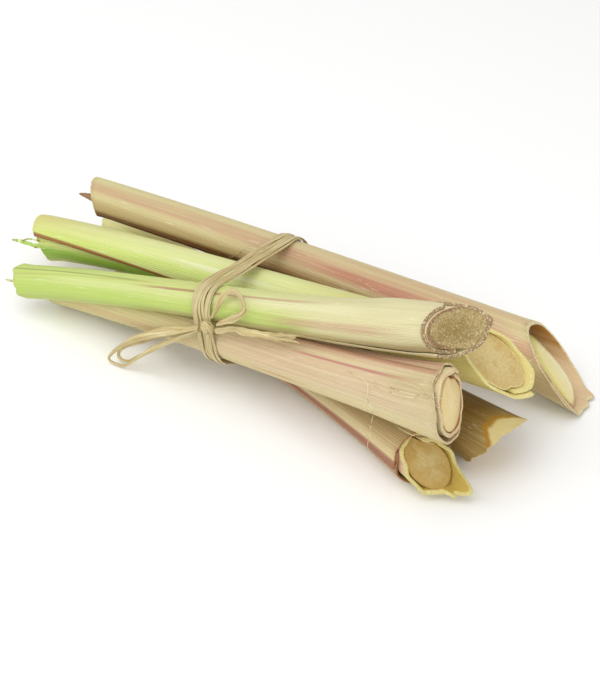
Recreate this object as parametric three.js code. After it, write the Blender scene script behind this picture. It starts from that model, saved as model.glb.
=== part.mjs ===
// A bundle of six cut lemongrass stalks lying on a table, held by two turns of raffia with a knot and a bow.
// Millimetres, +Z up. +X runs to the fat cut bases, -Y is the front. The table is at z = 0.
import * as THREE from 'three';
import { ParametricGeometry } from 'three/addons/geometries/ParametricGeometry.js';
import { mergeVertices } from 'three/addons/utils/BufferGeometryUtils.js';

// Driving dimensions
const GAP = 0.3;
const SHEATH_SIDES = 20;
const CORE_SIDES = 14;
const OVERLAP = 34;
const ROWS = [0, 0.18, 0.36, 0.54, 0.72, 0.88, 0.97, 1];
const TIE_X = -10.7;
const TIE_LEAN_Y = 0.083;
const TIE_LEAN_Z = -0.176;
const TIE_MID_Z = 19;
const TURN_WIDTH = 2.8;
const TURN_THICK = 0.9;
const TURN_PITCH = 3.3;
const STRAND_RADIUS = 0.95;

// Each stalk: axis points from the thin top to the fat base with the radius there, and how much flatter
// it is than it is wide. A cut is how far it stands off the last axis point and its slope to front and to top.
const STALKS = {
  rear: {
    axis: [[-91.9, 18.0, 30.0], [-18.2, 23.0, 26.5], [48.8, 28.1, 19.0], [94.5, 31.7, 11.9]],
    radius: [6.8, 7.5, 9.9, 12.6],
    flatter: 0,
  },
  upper: {
    axis: [[-108.4, 2.4, 13.7], [-18.6, 2.4, 26.1], [38.5, 1.5, 30.4], [85.1, 0.5, 34.8]],
    radius: [9.2, 7.7, 9.2, 10.8],
    flatter: 0.05,
  },
  green: {
    axis: [[-101.5, -20.2, 11.1], [-13.8, -18.0, 34.7], [36.6, -17.1, 46.7], [72.3, -15.7, 56.4]],
    radius: [6.5, 6.1, 7.7, 9.2],
    flatter: 0.02,
  },
  front: {
    axis: [[-89.3, -9.6, 5.6], [-20.3, -16.4, 19.4], [28.2, -22.2, 27.3], [76.6, -29.8, 37.9]],
    radius: [6.0, 6.5, 9.3, 12.4],
    flatter: 0.03,
  },
  low_front: {
    axis: [[-79.2, 14.5, 5.4], [-9.9, -5.3, 8.9], [33.5, -16.4, 8.0], [76.0, -31.4, 10.2]],
    radius: [6.0, 6.5, 7.8, 10.7],
    flatter: 0.05,
  },
  low_middle: {
    axis: [[-96.8, 32.1, 5.5], [-18.9, 14.9, 8.9], [38.6, 2.0, 8.9], [87.7, -9.2, 9.8]],
    radius: [6.1, 6.7, 9.1, 11.3],
    flatter: 0.05,
  },
};

// Leaf sheaths. room is the depth under the stalk's outside where the sheet starts, edge is where its free
// margin runs round the stalk in degrees (0 front, 90 top) at the top and at the base, turn is the way it wraps.
const SHEATHS = [
  { name: 'rear_outer_sheath', stalk: 'rear', room: 0, thick: 0.9, edge: [-28, -22], turn: -1,
    top: { reach: 2.5, front: 0.08, up: 0.0, ragged: 0.5 },
    base: { reach: -0.5, front: -0.27, up: 1.25, ragged: 0.6 }, flare: 0 },
  { name: 'rear_inner_sheath', stalk: 'rear', room: 2.4, thick: 0.6, edge: [60, 95], turn: 1,
    top: { reach: 5, front: 0.3, up: 0.2, ragged: 1.6 },
    base: { reach: -1.2, front: -0.3, up: 1.2, ragged: 0.4 }, flare: -0.6, sag: [0.3, -0.4] },
  { name: 'upper_outer_sheath', stalk: 'upper', room: 0, thick: 1.0, edge: [42, 10], turn: -1,
    top: { reach: 3.5, front: 0.15, up: 0.0, ragged: 0.7 },
    base: { reach: -2.2, front: 0.17, up: 1.08, ragged: 0.5 }, flare: 0 },
  { name: 'green_outer_sheath', stalk: 'green', room: 0, thick: 0.8, edge: [150, 112], turn: 1,
    top: { reach: 1, front: 0.1, up: 0.1, ragged: 0.9 },
    base: { reach: 0.5, front: 0.84, up: 0.34, ragged: 0.4 }, flare: 0 },
  { name: 'front_outer_sheath', stalk: 'front', room: 0, thick: 0.8, edge: [120, 84], turn: 1,
    top: { reach: 0, front: 0.1, up: 0.0, ragged: 0.6 },
    base: { reach: 3.2, front: -0.41, up: 0.05, ragged: 0.4 }, flare: 1.0 },
  { name: 'front_inner_sheath', stalk: 'front', room: 2.3, thick: 0.65, edge: [200, 150], turn: 1,
    top: { reach: 1, front: 0.1, up: 0.0, ragged: 0.4 },
    base: { reach: 4.2, front: -0.38, up: 0.03, ragged: 0.4 }, flare: 0.7 },
  { name: 'low_front_outer_sheath', stalk: 'low_front', room: 0, thick: 0.7, edge: [20, 0], turn: -1,
    top: { reach: 0, front: 0.1, up: 0.0, ragged: 0.5 },
    base: { reach: -5.0, front: 0.2, up: 0.2, ragged: 0.5 }, flare: 0.6 },
  { name: 'low_front_inner_sheath', stalk: 'low_front', room: 2.1, thick: 0.6, edge: [150, 190], turn: 1,
    top: { reach: 1, front: 0.1, up: 0.0, ragged: 0.4 },
    base: { reach: -1.3, front: 0.26, up: 0.88, ragged: 1.0 }, flare: 0.9 },
  { name: 'low_middle_outer_sheath', stalk: 'low_middle', room: 0, thick: 0.8, edge: [140, 120], turn: 1,
    top: { reach: 1, front: 0.2, up: 0.1, ragged: 0.6 },
    base: { reach: 1.2, front: 0.02, up: -0.75, ragged: 0.4 }, flare: 0 },
];

// Solid hearts of the stalks, each inside its innermost sheath.
const CORES = [
  { name: 'rear_core', stalk: 'rear', room: 4.6,
    top: { reach: 7, front: 0.1, up: 0.1 }, base: { reach: -3.4, front: -0.67, up: 1.22 }, flare: -0.4, sag: [0.5, -0.7] },
  { name: 'upper_core', stalk: 'upper', room: 2.65,
    top: { reach: 0.5, front: 0.1, up: 0.0 }, base: { reach: -3.5, front: 0.14, up: 1.2 }, flare: 0 },
  { name: 'green_core', stalk: 'green', room: 2.2,
    top: { reach: 2, front: 0.1, up: 0.1 }, base: { reach: 0.9, front: 0.84, up: 0.34 }, flare: 0 },
  { name: 'front_core', stalk: 'front', room: 4.2,
    top: { reach: 2, front: 0.1, up: 0.0 }, base: { reach: 4.0, front: -0.36, up: 0.0 }, flare: 0.5 },
  { name: 'low_front_core', stalk: 'low_front', room: 3.9,
    top: { reach: 2, front: 0.1, up: 0.0 }, base: { reach: -2.0, front: 0.2, up: 0.95 }, flare: 0.9 },
  { name: 'low_middle_core', stalk: 'low_middle', room: 2.25,
    top: { reach: 2, front: 0.1, up: 0.0 }, base: { reach: -0.8, front: 0.02, up: -0.6 }, flare: 0 },
];

// Knot of the raffia, in front of the turns, and the strands of its bow that hang or lie free.
const KNOT = { at: [-13.6, -27.7, 28.2], half: [3.1, 1.9, 3.4] };
const STRANDS = {
  raffia_left_loop_outer: [[-18.0, -28.6, 27.6], [-23.0, -29.1, 25.2], [-28.0, -29.7, 22.8], [-36.1, -30.7, 19.0],
    [-43.5, -31.3, 13.4], [-49.2, -31.9, 7.4], [-52.6, -32.3, 3.2], [-52.2, -32.5, 1.3], [-47.6, -32.6, 1.6],
    [-41.0, -31.7, 6.0], [-34.4, -30.9, 11.6], [-28.0, -30.1, 17.2], [-22.6, -29.3, 21.2], [-18.2, -28.5, 23.8]],
  raffia_left_loop_inner: [[-18.0, -26.3, 25.8], [-22.4, -26.3, 23.0], [-27.6, -26.7, 19.8], [-33.6, -27.3, 15.6],
    [-39.4, -27.9, 10.8], [-43.8, -28.5, 7.0], [-44.6, -28.7, 4.4], [-40.4, -28.1, 5.0], [-34.2, -27.1, 9.8],
    [-27.6, -26.1, 15.4], [-22.2, -25.5, 19.2], [-17.8, -25.9, 22.4]],
  raffia_right_loop: [[-12.6, -27.5, 33.4], [-11.6, -27.1, 36.4], [-11.4, -25.5, 39.8], [-9.6, -23.5, 42.8],
    [-5.8, -21.9, 44.4], [-1.6, -22.7, 44.4], [1.2, -24.9, 42.6], [1.0, -26.3, 39.2], [-2.4, -26.9, 35.8],
    [-6.2, -27.3, 32.8], [-8.9, -27.7, 30.6]],
  raffia_tail: [[-8.9, -28.3, 28.6], [-4.4, -28.5, 31.0], [0.8, -28.3, 33.2], [7.0, -27.9, 34.8],
    [13.6, -27.7, 36.6], [18.6, -28.1, 38.6], [22.6, -28.7, 41.0]],
};

const COLOURS = {
  rear: 0xcfbf98,
  upper: 0xd3d49a,
  green: 0xc4d68c,
  front: 0xd9c6a4,
  low_front: 0xc9ad8b,
  low_middle: 0xa79069,
  core: 0xdcc98e,
  raffia: 0xcdb07a,
};

// Axis of a stalk: the cubic through its four points, by their distance along it. It runs on past both ends.
class StalkAxis extends THREE.Curve {
  constructor(stalk) {
    super();
    this.points = stalk.axis.map((p) => new THREE.Vector3(...p));
    this.radii = stalk.radius;
    this.flatter = stalk.flatter;
    this.at = [0];
    for (let i = 1; i < this.points.length; i++) {
      this.at.push(this.at[i - 1] + this.points[i].distanceTo(this.points[i - 1]));
    }
    this.length = this.at[this.at.length - 1];
    this.knots = this.at.map((a) => a / this.length);
  }

  weights(t) {
    return this.knots.map((k, i) => this.knots.reduce((w, other, j) => (i === j ? w : w * (t - other) / (k - other)), 1));
  }

  getPoint(t, target = new THREE.Vector3()) {
    const w = this.weights(t);
    target.set(0, 0, 0);
    this.points.forEach((p, i) => target.addScaledVector(p, w[i]));
    return target;
  }

  radiusAt(t) {
    const w = this.weights(THREE.MathUtils.clamp(t, 0, 1));
    return this.radii.reduce((sum, r, i) => sum + r * w[i], 0);
  }

  // A point at a distance along the axis, an angle round it (0 front, 90 top) and a radius. off moves it bodily.
  place(along, degrees, radius, target, off = [0, 0]) {
    const t = along / this.length;
    const point = this.getPoint(t);
    const tangent = this.getPoint(t + 0.01).sub(this.getPoint(t - 0.01)).normalize();
    const front = new THREE.Vector3().crossVectors(tangent, new THREE.Vector3(0, 0, 1)).normalize();
    const up = new THREE.Vector3().crossVectors(front, tangent);
    const angle = THREE.MathUtils.degToRad(degrees);
    const flat = 1 - this.flatter * Math.sin(angle) ** 2;
    target.copy(point);
    target.addScaledVector(front, radius * flat * Math.cos(angle) + off[0]);
    target.addScaledVector(up, radius * flat * Math.sin(angle) + off[1]);
    target.z = Math.max(target.z, 0);
    return target;
  }
}

const AXES = Object.fromEntries(Object.entries(STALKS).map(([name, stalk]) => [name, new StalkAxis(stalk)]));

// A closed surface given by a formula, with its doubled points merged and its faces turned outwards.
function closedSolid(formula, across, along) {
  const sheet = new ParametricGeometry(formula, across, along);
  sheet.deleteAttribute('normal');
  sheet.deleteAttribute('uv');
  const merged = mergeVertices(sheet, 1e-3);
  const corners = Array.from(merged.index.array);
  const kept = [];
  for (let i = 0; i < corners.length; i += 3) {
    const [a, b, c] = corners.slice(i, i + 3);
    if (a !== b && b !== c && c !== a) kept.push(a, b, c);
  }
  const place = merged.getAttribute('position');
  const p = new THREE.Vector3();
  const q = new THREE.Vector3();
  const r = new THREE.Vector3();
  let volume = 0;
  for (let i = 0; i < kept.length; i += 3) {
    p.fromBufferAttribute(place, kept[i]);
    q.fromBufferAttribute(place, kept[i + 1]);
    r.fromBufferAttribute(place, kept[i + 2]);
    volume += p.dot(q.cross(r));
  }
  if (volume < 0) {
    for (let i = 0; i < kept.length; i += 3) [kept[i], kept[i + 1]] = [kept[i + 1], kept[i]];
  }
  merged.setIndex(kept);
  merged.computeVertexNormals();
  return merged;
}

// How far along the axis a cut lies at an angle round the stalk.
function cutAt(cut, degrees, radius) {
  const angle = THREE.MathUtils.degToRad(degrees);
  const slope = cut.front * Math.cos(angle) + cut.up * Math.sin(angle);
  const torn = (cut.ragged ?? 0) * (0.6 * Math.sin(3 * angle + 1.1) + 0.4 * Math.sin(7 * angle + 0.4));
  return cut.reach - radius * slope + torn;
}

// A leaf sheath: a thin sheet rolled once round the stalk, its margin lapping over its other edge.
function sheathGeometry(sheath) {
  const axis = AXES[sheath.stalk];
  const sides = SHEATH_SIDES;
  const across = 2 * sides + 2;
  const along = ROWS.length + 1;
  const whole = 360 + OVERLAP;
  const lift = sheath.thick + GAP;
  const formula = (u, v, target) => {
    const k = Math.round(u * across) % across;
    const outside = k <= sides;
    const step = outside ? k / sides : (across - 1 - k) / sides;
    const line = Math.round(v * along);
    const row = THREE.MathUtils.clamp(line - 1, 0, ROWS.length - 1);
    const folded = line === 0 || line === along;
    const part = ROWS[row];
    const edge = THREE.MathUtils.lerp(sheath.edge[0], sheath.edge[1], part);
    const degrees = edge - sheath.turn * whole * (1 - step);
    const mean = axis.radiusAt(part) - sheath.room;
    const start = cutAt(sheath.top, degrees, axis.radiusAt(0) - sheath.room);
    const end = axis.length + cutAt(sheath.base, degrees, axis.radiusAt(1) - sheath.room);
    const distance = THREE.MathUtils.lerp(start, end, part);
    const ending = THREE.MathUtils.smoothstep(part, 0.8, 1);
    const inside = mean - sheath.thick - lift + lift * step * whole / 360 + sheath.flare * ending;
    const depth = folded ? 0.5 : outside ? 1 : 0;
    const sag = (sheath.sag ?? [0, 0]).map((x) => x * ending);
    axis.place(distance, degrees, inside + sheath.thick * depth, target, sag);
  };
  return closedSolid(formula, across, along);
}

// The heart of a stalk: a tapering rod with a cut face at each end.
function coreGeometry(core) {
  const axis = AXES[core.stalk];
  const along = ROWS.length + 1;
  const formula = (u, v, target) => {
    const line = Math.round(v * along);
    const middle = line === 0 || line === along;
    const degrees = 360 * (Math.round(u * CORE_SIDES) % CORE_SIDES) / CORE_SIDES;
    const part = ROWS[THREE.MathUtils.clamp(line - 1, 0, ROWS.length - 1)];
    const ending = THREE.MathUtils.smoothstep(part, 0.8, 1);
    const radius = (axis.radiusAt(part) - core.room + core.flare * ending) * (middle ? 0 : 1);
    const start = cutAt(core.top, degrees, radius);
    const end = axis.length + cutAt(core.base, degrees, radius);
    const sag = (core.sag ?? [0, 0]).map((x) => x * ending);
    axis.place(THREE.MathUtils.lerp(start, end, part), degrees, radius, target, sag);
  };
  return closedSolid(formula, CORE_SIDES, along);
}

// Where the tie's leaning plane cuts a stalk.
function tieCut(axis) {
  const off = (p) => p.x - (TIE_X + TIE_LEAN_Y * p.y + TIE_LEAN_Z * (p.z - TIE_MID_Z));
  let low = 0;
  let high = 1;
  for (let i = 0; i < 40; i++) {
    const middle = (low + high) / 2;
    if (off(axis.getPoint(middle)) < 0) low = middle;
    else high = middle;
  }
  return low;
}

// A turn of raffia: a flat ring pulled straight round the outside of the whole bundle.
function turnGeometry(shift) {
  const around = 44;
  const corners = [[-0.5, 0.25], [-0.2, 0.5], [0.2, 0.5], [0.5, 0.25], [0.5, -0.25], [0.2, -0.5], [-0.2, -0.5], [-0.5, -0.25]];
  const circles = Object.values(AXES).map((axis) => {
    const t = tieCut(axis);
    return { centre: axis.getPoint(t), radius: axis.radiusAt(t) * 1.03 + 2 * GAP + TURN_THICK / 2 };
  });
  const formula = (u, v, target) => {
    const corner = corners[Math.round(u * corners.length) % corners.length];
    const angle = 2 * Math.PI * ((Math.round(v * around) % around) + 0.5) / around;
    const y = Math.cos(angle);
    const z = Math.sin(angle);
    const reach = circles.map((c) => c.centre.y * y + c.centre.z * z + c.radius);
    const held = circles[reach.indexOf(Math.max(...reach))];
    const out = held.radius + corner[1] * TURN_THICK;
    target.y = held.centre.y + out * y;
    target.z = held.centre.z + out * z;
    target.x = TIE_X + TIE_LEAN_Y * target.y + TIE_LEAN_Z * (target.z - TIE_MID_Z) + shift + corner[0] * TURN_WIDTH;
  };
  return closedSolid(formula, corners.length, around);
}

// The knot: a rounded lump with the folds of the strands crossing in it.
function knotGeometry() {
  const formula = (u, v, target) => {
    const turn = 2 * Math.PI * (Math.round(u * 14) % 14) / 14;
    const tip = Math.PI * v;
    const fold = 1 + 0.09 * Math.sin(3 * turn + 2 * tip) * Math.sin(tip);
    target.x = KNOT.at[0] + KNOT.half[0] * fold * Math.sin(tip) * Math.cos(turn);
    target.y = KNOT.at[1] + KNOT.half[1] * Math.sin(tip) * Math.sin(turn);
    target.z = KNOT.at[2] + KNOT.half[2] * fold * Math.cos(tip);
  };
  return closedSolid(formula, 14, 10);
}

// A free strand: a round section drawn along a smooth line through its points.
function strandGeometry(points) {
  const section = new THREE.Shape();
  for (let i = 0; i <= 8; i++) {
    const angle = 2 * Math.PI * i / 8;
    const x = STRAND_RADIUS * Math.cos(angle);
    const y = STRAND_RADIUS * Math.sin(angle);
    if (i === 0) section.moveTo(x, y);
    else if (i < 8) section.lineTo(x, y);
    else section.closePath();
  }
  const path = new THREE.CatmullRomCurve3(points.map((p) => new THREE.Vector3(...p)));
  const steps = Math.ceil(path.getLength() / (4.6 * STRAND_RADIUS));
  return new THREE.ExtrudeGeometry(section, { steps, extrudePath: path, curveSegments: 1 });
}

function piece(name, geometry, colour, roughness) {
  const material = new THREE.MeshStandardMaterial({ color: colour, roughness, metalness: 0 });
  const mesh = new THREE.Mesh(geometry, material);
  mesh.name = name;
  return mesh;
}

const bundle = new THREE.Group();
for (const sheath of SHEATHS) {
  bundle.add(piece(sheath.name, sheathGeometry(sheath), COLOURS[sheath.stalk], 0.55));
}
for (const core of CORES) {
  bundle.add(piece(core.name, coreGeometry(core), COLOURS.core, 0.6));
}
bundle.add(piece('raffia_turn_left', turnGeometry(-TURN_PITCH / 2), COLOURS.raffia, 0.65));
bundle.add(piece('raffia_turn_right', turnGeometry(TURN_PITCH / 2), COLOURS.raffia, 0.65));
bundle.add(piece('raffia_knot', knotGeometry(), COLOURS.raffia, 0.65));
for (const [name, points] of Object.entries(STRANDS)) {
  bundle.add(piece(name, strandGeometry(points), COLOURS.raffia, 0.65));
}

export default bundle;
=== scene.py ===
# A loose bundle of six cut lemongrass stalks on a table, tied with raffia. Blender lengths are metres.
# +X runs to the fat cut bases, -Y is the front, the table is at z = 0.
import math

import bmesh
import bpy
import numpy as np
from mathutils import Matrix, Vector


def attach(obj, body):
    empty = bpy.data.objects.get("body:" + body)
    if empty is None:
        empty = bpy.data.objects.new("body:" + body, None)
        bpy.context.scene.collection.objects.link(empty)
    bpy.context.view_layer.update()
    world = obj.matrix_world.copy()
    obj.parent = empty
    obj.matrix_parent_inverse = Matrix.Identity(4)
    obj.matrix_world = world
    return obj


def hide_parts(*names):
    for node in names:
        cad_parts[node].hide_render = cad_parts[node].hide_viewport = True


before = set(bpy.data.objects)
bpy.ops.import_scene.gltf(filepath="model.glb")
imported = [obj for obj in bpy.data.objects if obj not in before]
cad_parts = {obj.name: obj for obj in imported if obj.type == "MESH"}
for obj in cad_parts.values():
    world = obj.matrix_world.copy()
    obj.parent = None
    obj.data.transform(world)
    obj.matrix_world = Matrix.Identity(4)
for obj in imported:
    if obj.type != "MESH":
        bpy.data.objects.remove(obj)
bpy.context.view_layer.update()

# The camera looks down on the bundle from the front, a little from its base end, as in the photograph.
MM = 0.001
CAMERA_AZIMUTH = math.radians(30)
CAMERA_ELEVATION = math.radians(40)
CAMERA_DISTANCE = 0.560
CAMERA_TARGET = Vector((0.0110, -0.0057, 0.0180))
LENS_MM = 84.7

towards_camera = Vector((
    math.sin(CAMERA_AZIMUTH) * math.cos(CAMERA_ELEVATION),
    -math.cos(CAMERA_AZIMUTH) * math.cos(CAMERA_ELEVATION),
    math.sin(CAMERA_ELEVATION),
))
camera_data = bpy.data.cameras.new("camera")
camera_data.lens = LENS_MM
camera = bpy.data.objects.new("camera", camera_data)
camera.location = CAMERA_TARGET + towards_camera * CAMERA_DISTANCE
camera.rotation_euler = (-towards_camera).to_track_quat("-Z", "Y").to_euler()
bpy.context.scene.collection.objects.link(camera)
bpy.context.scene.camera = camera

# A plain pale table top under soft studio light: a bright even surround, a broad lamp overhead
# and two weaker ones, from the left and from the right where the cut bases look.
FLOOR_HALF = 1.6
FLOOR_DROP = 0.2 * MM
FLOOR_TONE = (0.97, 0.97, 0.965, 1.0)
SURROUND_STRENGTH = 0.61

floor_mesh = bpy.data.meshes.new("table_top")
floor_shape = bmesh.new()
bmesh.ops.create_grid(floor_shape, x_segments=1, y_segments=1, size=FLOOR_HALF)
bmesh.ops.translate(floor_shape, verts=floor_shape.verts, vec=(0, 0, -FLOOR_DROP))
floor_shape.to_mesh(floor_mesh)
floor_shape.free()
floor = bpy.data.objects.new("table_top", floor_mesh)
bpy.context.scene.collection.objects.link(floor)
floor_paint = bpy.data.materials.new("pale_table")
floor_paint.use_nodes = True
floor_paint.node_tree.nodes["Principled BSDF"].inputs["Base Color"].default_value = FLOOR_TONE
floor_paint.node_tree.nodes["Principled BSDF"].inputs["Roughness"].default_value = 0.9
floor_mesh.materials.append(floor_paint)

surround = bpy.data.worlds.new("studio")
surround.use_nodes = True
surround.node_tree.nodes["Background"].inputs["Color"].default_value = (1.0, 1.0, 1.0, 1.0)
surround.node_tree.nodes["Background"].inputs["Strength"].default_value = SURROUND_STRENGTH
bpy.context.scene.world = surround
bpy.context.scene.view_settings.view_transform = "Standard"
for lamp_name, place, power, size in (
    ("overhead_lamp", (-0.15, -0.25, 0.95), 4.8, 0.9),
    ("left_lamp", (-0.80, -0.60, 0.55), 1.7, 0.6),
    ("right_lamp", (0.75, -0.55, 0.45), 2.0, 0.6),
):
    lamp_data = bpy.data.lights.new(lamp_name, "AREA")
    lamp_data.energy = power
    lamp_data.size = size
    lamp = bpy.data.objects.new(lamp_name, lamp_data)
    lamp.location = place
    lamp.rotation_euler = (CAMERA_TARGET - Vector(place)).to_track_quat("-Z", "Y").to_euler()
    bpy.context.scene.collection.objects.link(lamp)

# Free strands of the bow: split raffia leaf, folded along its length into a narrow ribbon. The two strands of
# the left loop droop side by side and the outer one touches the table, a small loop stands up on the right
# and one tail lies along the stalks.
RIBBON_WIDTH = 2.1 * MM
RIBBON_THICK = 0.32 * MM
RIBBON_FOLD = 0.24
TAIL_WIDENING = 1.15
LOWEST = 0.05 * MM
FREE_STRANDS = {
    "raffia_left_loop_outer": (
        (-0.0159, -0.0290, 0.0293), (-0.0220, -0.0292, 0.0259), (-0.0284, -0.0298, 0.0230),
        (-0.0345, -0.0305, 0.0197), (-0.0407, -0.0312, 0.0158), (-0.0457, -0.0318, 0.0115),
        (-0.0506, -0.0323, 0.0061), (-0.0529, -0.0325, 0.0026), (-0.0524, -0.0326, 0.0011),
        (-0.0492, -0.0326, 0.0010), (-0.0461, -0.0325, 0.0016), (-0.0433, -0.0322, 0.0042),
        (-0.0370, -0.0315, 0.0108), (-0.0307, -0.0308, 0.0165), (-0.0247, -0.0300, 0.0212),
        (-0.0191, -0.0294, 0.0254), (-0.0160, -0.0289, 0.0279),
    ),
    "raffia_left_loop_inner": (
        (-0.0168, -0.0268, 0.0266), (-0.0237, -0.0270, 0.0220), (-0.0305, -0.0272, 0.0185),
        (-0.0366, -0.0278, 0.0150), (-0.0428, -0.0286, 0.0112), (-0.0474, -0.0292, 0.0077),
        (-0.0501, -0.0297, 0.0047), (-0.0505, -0.0300, 0.0027), (-0.0493, -0.0303, 0.0016),
        (-0.0464, -0.0304, 0.0020), (-0.0436, -0.0302, 0.0040), (-0.0378, -0.0292, 0.0093),
        (-0.0317, -0.0282, 0.0144), (-0.0256, -0.0275, 0.0192), (-0.0207, -0.0271, 0.0227),
        (-0.0172, -0.0268, 0.0252),
    ),
    "raffia_right_loop": (
        (-0.0112, -0.0274, 0.0342), (-0.0099, -0.0271, 0.0369), (-0.0092, -0.0259, 0.0401),
        (-0.0085, -0.0242, 0.0424), (-0.0068, -0.0230, 0.0443), (-0.0046, -0.0227, 0.0452),
        (-0.0017, -0.0239, 0.0451), (0.0005, -0.0254, 0.0443), (0.0016, -0.0266, 0.0427),
        (0.0005, -0.0274, 0.0405), (-0.0020, -0.0281, 0.0382), (-0.0051, -0.0284, 0.0359),
        (-0.0085, -0.0285, 0.0333),
    ),
    "raffia_tail": (
        (-0.0091, -0.0287, 0.0300), (-0.0054, -0.0288, 0.0322), (-0.0019, -0.0286, 0.0341),
        (0.0021, -0.0282, 0.0343), (0.0070, -0.0279, 0.0352), (0.0136, -0.0277, 0.0368),
        (0.0186, -0.0281, 0.0386), (0.0226, -0.0287, 0.0410),
    ),
}
# Raffia tones. The pale one is both the straw's palest fibres and its painted highlight; the fold tone is
# painted shade.
RAFFIA_DARK = (0.330, 0.200, 0.068, 1.0)
RAFFIA_MIDDLE = (0.550, 0.440, 0.195, 1.0)
RAFFIA_PALE_AND_HIGHLIGHT = (0.750, 0.670, 0.390, 1.0)
RAFFIA_FOLD_SHADE = (0.480, 0.280, 0.080, 1.0)
STRAND_TAPERS = {
    "raffia_left_loop_outer": ((0, 0.9), (0.1, 1.4), (0.26, 1.5), (0.38, 0.8), (0.5, 0.5), (0.62, 0.6),
                               (0.8, 0.9), (1, 0.7)),
    "raffia_left_loop_inner": ((0, 0.9), (0.15, 1.4), (0.35, 1.1), (0.48, 0.6), (0.7, 0.7), (1, 0.8)),
    "raffia_right_loop": ((0, 0.6), (0.25, 1.15), (0.5, 0.75), (0.8, 1.3), (1, 0.8)),
    "raffia_tail": ((0, 0.8), (0.25, 1.0), (0.6, 1.15), (0.9, 1.0), (1, 0.5)),
}


def wire(tree, kind, inputs=None, **settings):
    """A shader node with its settings, its inputs set to values or joined to other nodes' outputs."""
    node = tree.nodes.new(kind)
    for key, value in settings.items():
        setattr(node, key, value)
    for key, value in (inputs or {}).items():
        if isinstance(value, bpy.types.NodeSocket):
            tree.links.new(value, node.inputs[key])
        else:
            node.inputs[key].default_value = value
    return node


def arithmetic(tree, operation, first, second=0.0, third=0.0):
    """One step of arithmetic between two values."""
    return wire(tree, "ShaderNodeMath", {0: first, 1: second, 2: third}, operation=operation).outputs[0]


def fade(tree, value, low, high):
    """0 below low and 1 above high, with a smooth change between."""
    given = {"Value": value, "From Min": low, "From Max": high}
    return wire(tree, "ShaderNodeMapRange", given, interpolation_type="SMOOTHSTEP").outputs["Result"]


def blend(tree, amount, first, second, how="MIX"):
    """The second colour over the first by an amount."""
    node = wire(tree, "ShaderNodeMix", {0: amount, 6: first, 7: second}, data_type="RGBA", blend_type=how)
    return node.outputs[2]


def tint(tree, colour, tone, mask, amount, how="MIX"):
    """A tone laid over a colour where a mask is, by an amount."""
    return blend(tree, arithmetic(tree, "MULTIPLY", mask, amount), colour, tone, how)


def object_noise(tree, scale, detail, **more):
    """Noise over the piece, in grains per metre."""
    place = wire(tree, "ShaderNodeTexCoord").outputs["Object"]
    given = {"Vector": place, "Scale": scale, "Detail": detail}
    return wire(tree, "ShaderNodeTexNoise", given | more).outputs["Fac"]


def attribute(tree, name):
    """A piece's own attribute of three numbers."""
    return wire(tree, "ShaderNodeAttribute", attribute_name=name).outputs["Vector"]


def new_material(name):
    """A material and its node tree."""
    material = bpy.data.materials.new(name)
    material.use_nodes = True
    return material, material.node_tree


def stretched_noise(tree, vector, scale, detail=3.0, roughness=0.6):
    """Noise drawn out by a different scale along each coordinate."""
    drawn = wire(tree, "ShaderNodeVectorMath", {0: vector, 1: scale}, operation="MULTIPLY").outputs[0]
    given = {"Vector": drawn, "Scale": 1.0, "Detail": detail, "Roughness": roughness}
    return wire(tree, "ShaderNodeTexNoise", given).outputs["Fac"]


def finished_material(name, colour, roughness, height, bump_distance, gloss=0.45, bump_strength=0.6):
    """A material's own shader, given the colour and relief that its nodes work out."""
    tree = colour.node.id_data
    shader = tree.nodes["Principled BSDF"]
    shader.inputs["Specular IOR Level"].default_value = gloss
    tree.links.new(colour, shader.inputs["Base Color"])
    if isinstance(roughness, bpy.types.NodeSocket):
        tree.links.new(roughness, shader.inputs["Roughness"])
    else:
        shader.inputs["Roughness"].default_value = roughness
    bump = wire(tree, "ShaderNodeBump",
                {"Height": height, "Strength": bump_strength, "Distance": bump_distance})
    tree.links.new(bump.outputs["Normal"], shader.inputs["Normal"])


def raffia_finish():
    """Dry raffia: straw tan with fine fibres along the strand, painted highlight in pale patches, and painted
    shade for its folds in darker patches.
    """
    material, tree = new_material("raffia_straw")
    strand = attribute(tree, "strand")
    fibres = stretched_noise(tree, strand, (34.0, 0.9, 1.0), detail=4.0)
    patches = stretched_noise(tree, strand, (9.0, 0.7, 1.0), detail=2.0)
    ramp = wire(tree, "ShaderNodeValToRGB", {"Fac": fibres})
    ramp.color_ramp.elements[0].position = 0.30
    ramp.color_ramp.elements[0].color = RAFFIA_DARK
    ramp.color_ramp.elements[1].position = 0.72
    ramp.color_ramp.elements[1].color = RAFFIA_PALE_AND_HIGHLIGHT
    ramp.color_ramp.elements.new(0.46).color = RAFFIA_MIDDLE
    # Pale patches: painted highlight. Darker patches: painted shade standing for the folds.
    tinted = blend(tree, fade(tree, patches, 0.52, 0.70), ramp.outputs["Color"], RAFFIA_PALE_AND_HIGHLIGHT)
    tinted = tint(tree, tinted, RAFFIA_FOLD_SHADE, fade(tree, patches, 0.46, 0.36), 0.75)
    finished_material("raffia_straw", tinted, 0.48, fibres, 0.25 * MM, gloss=0.5)
    return material


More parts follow.
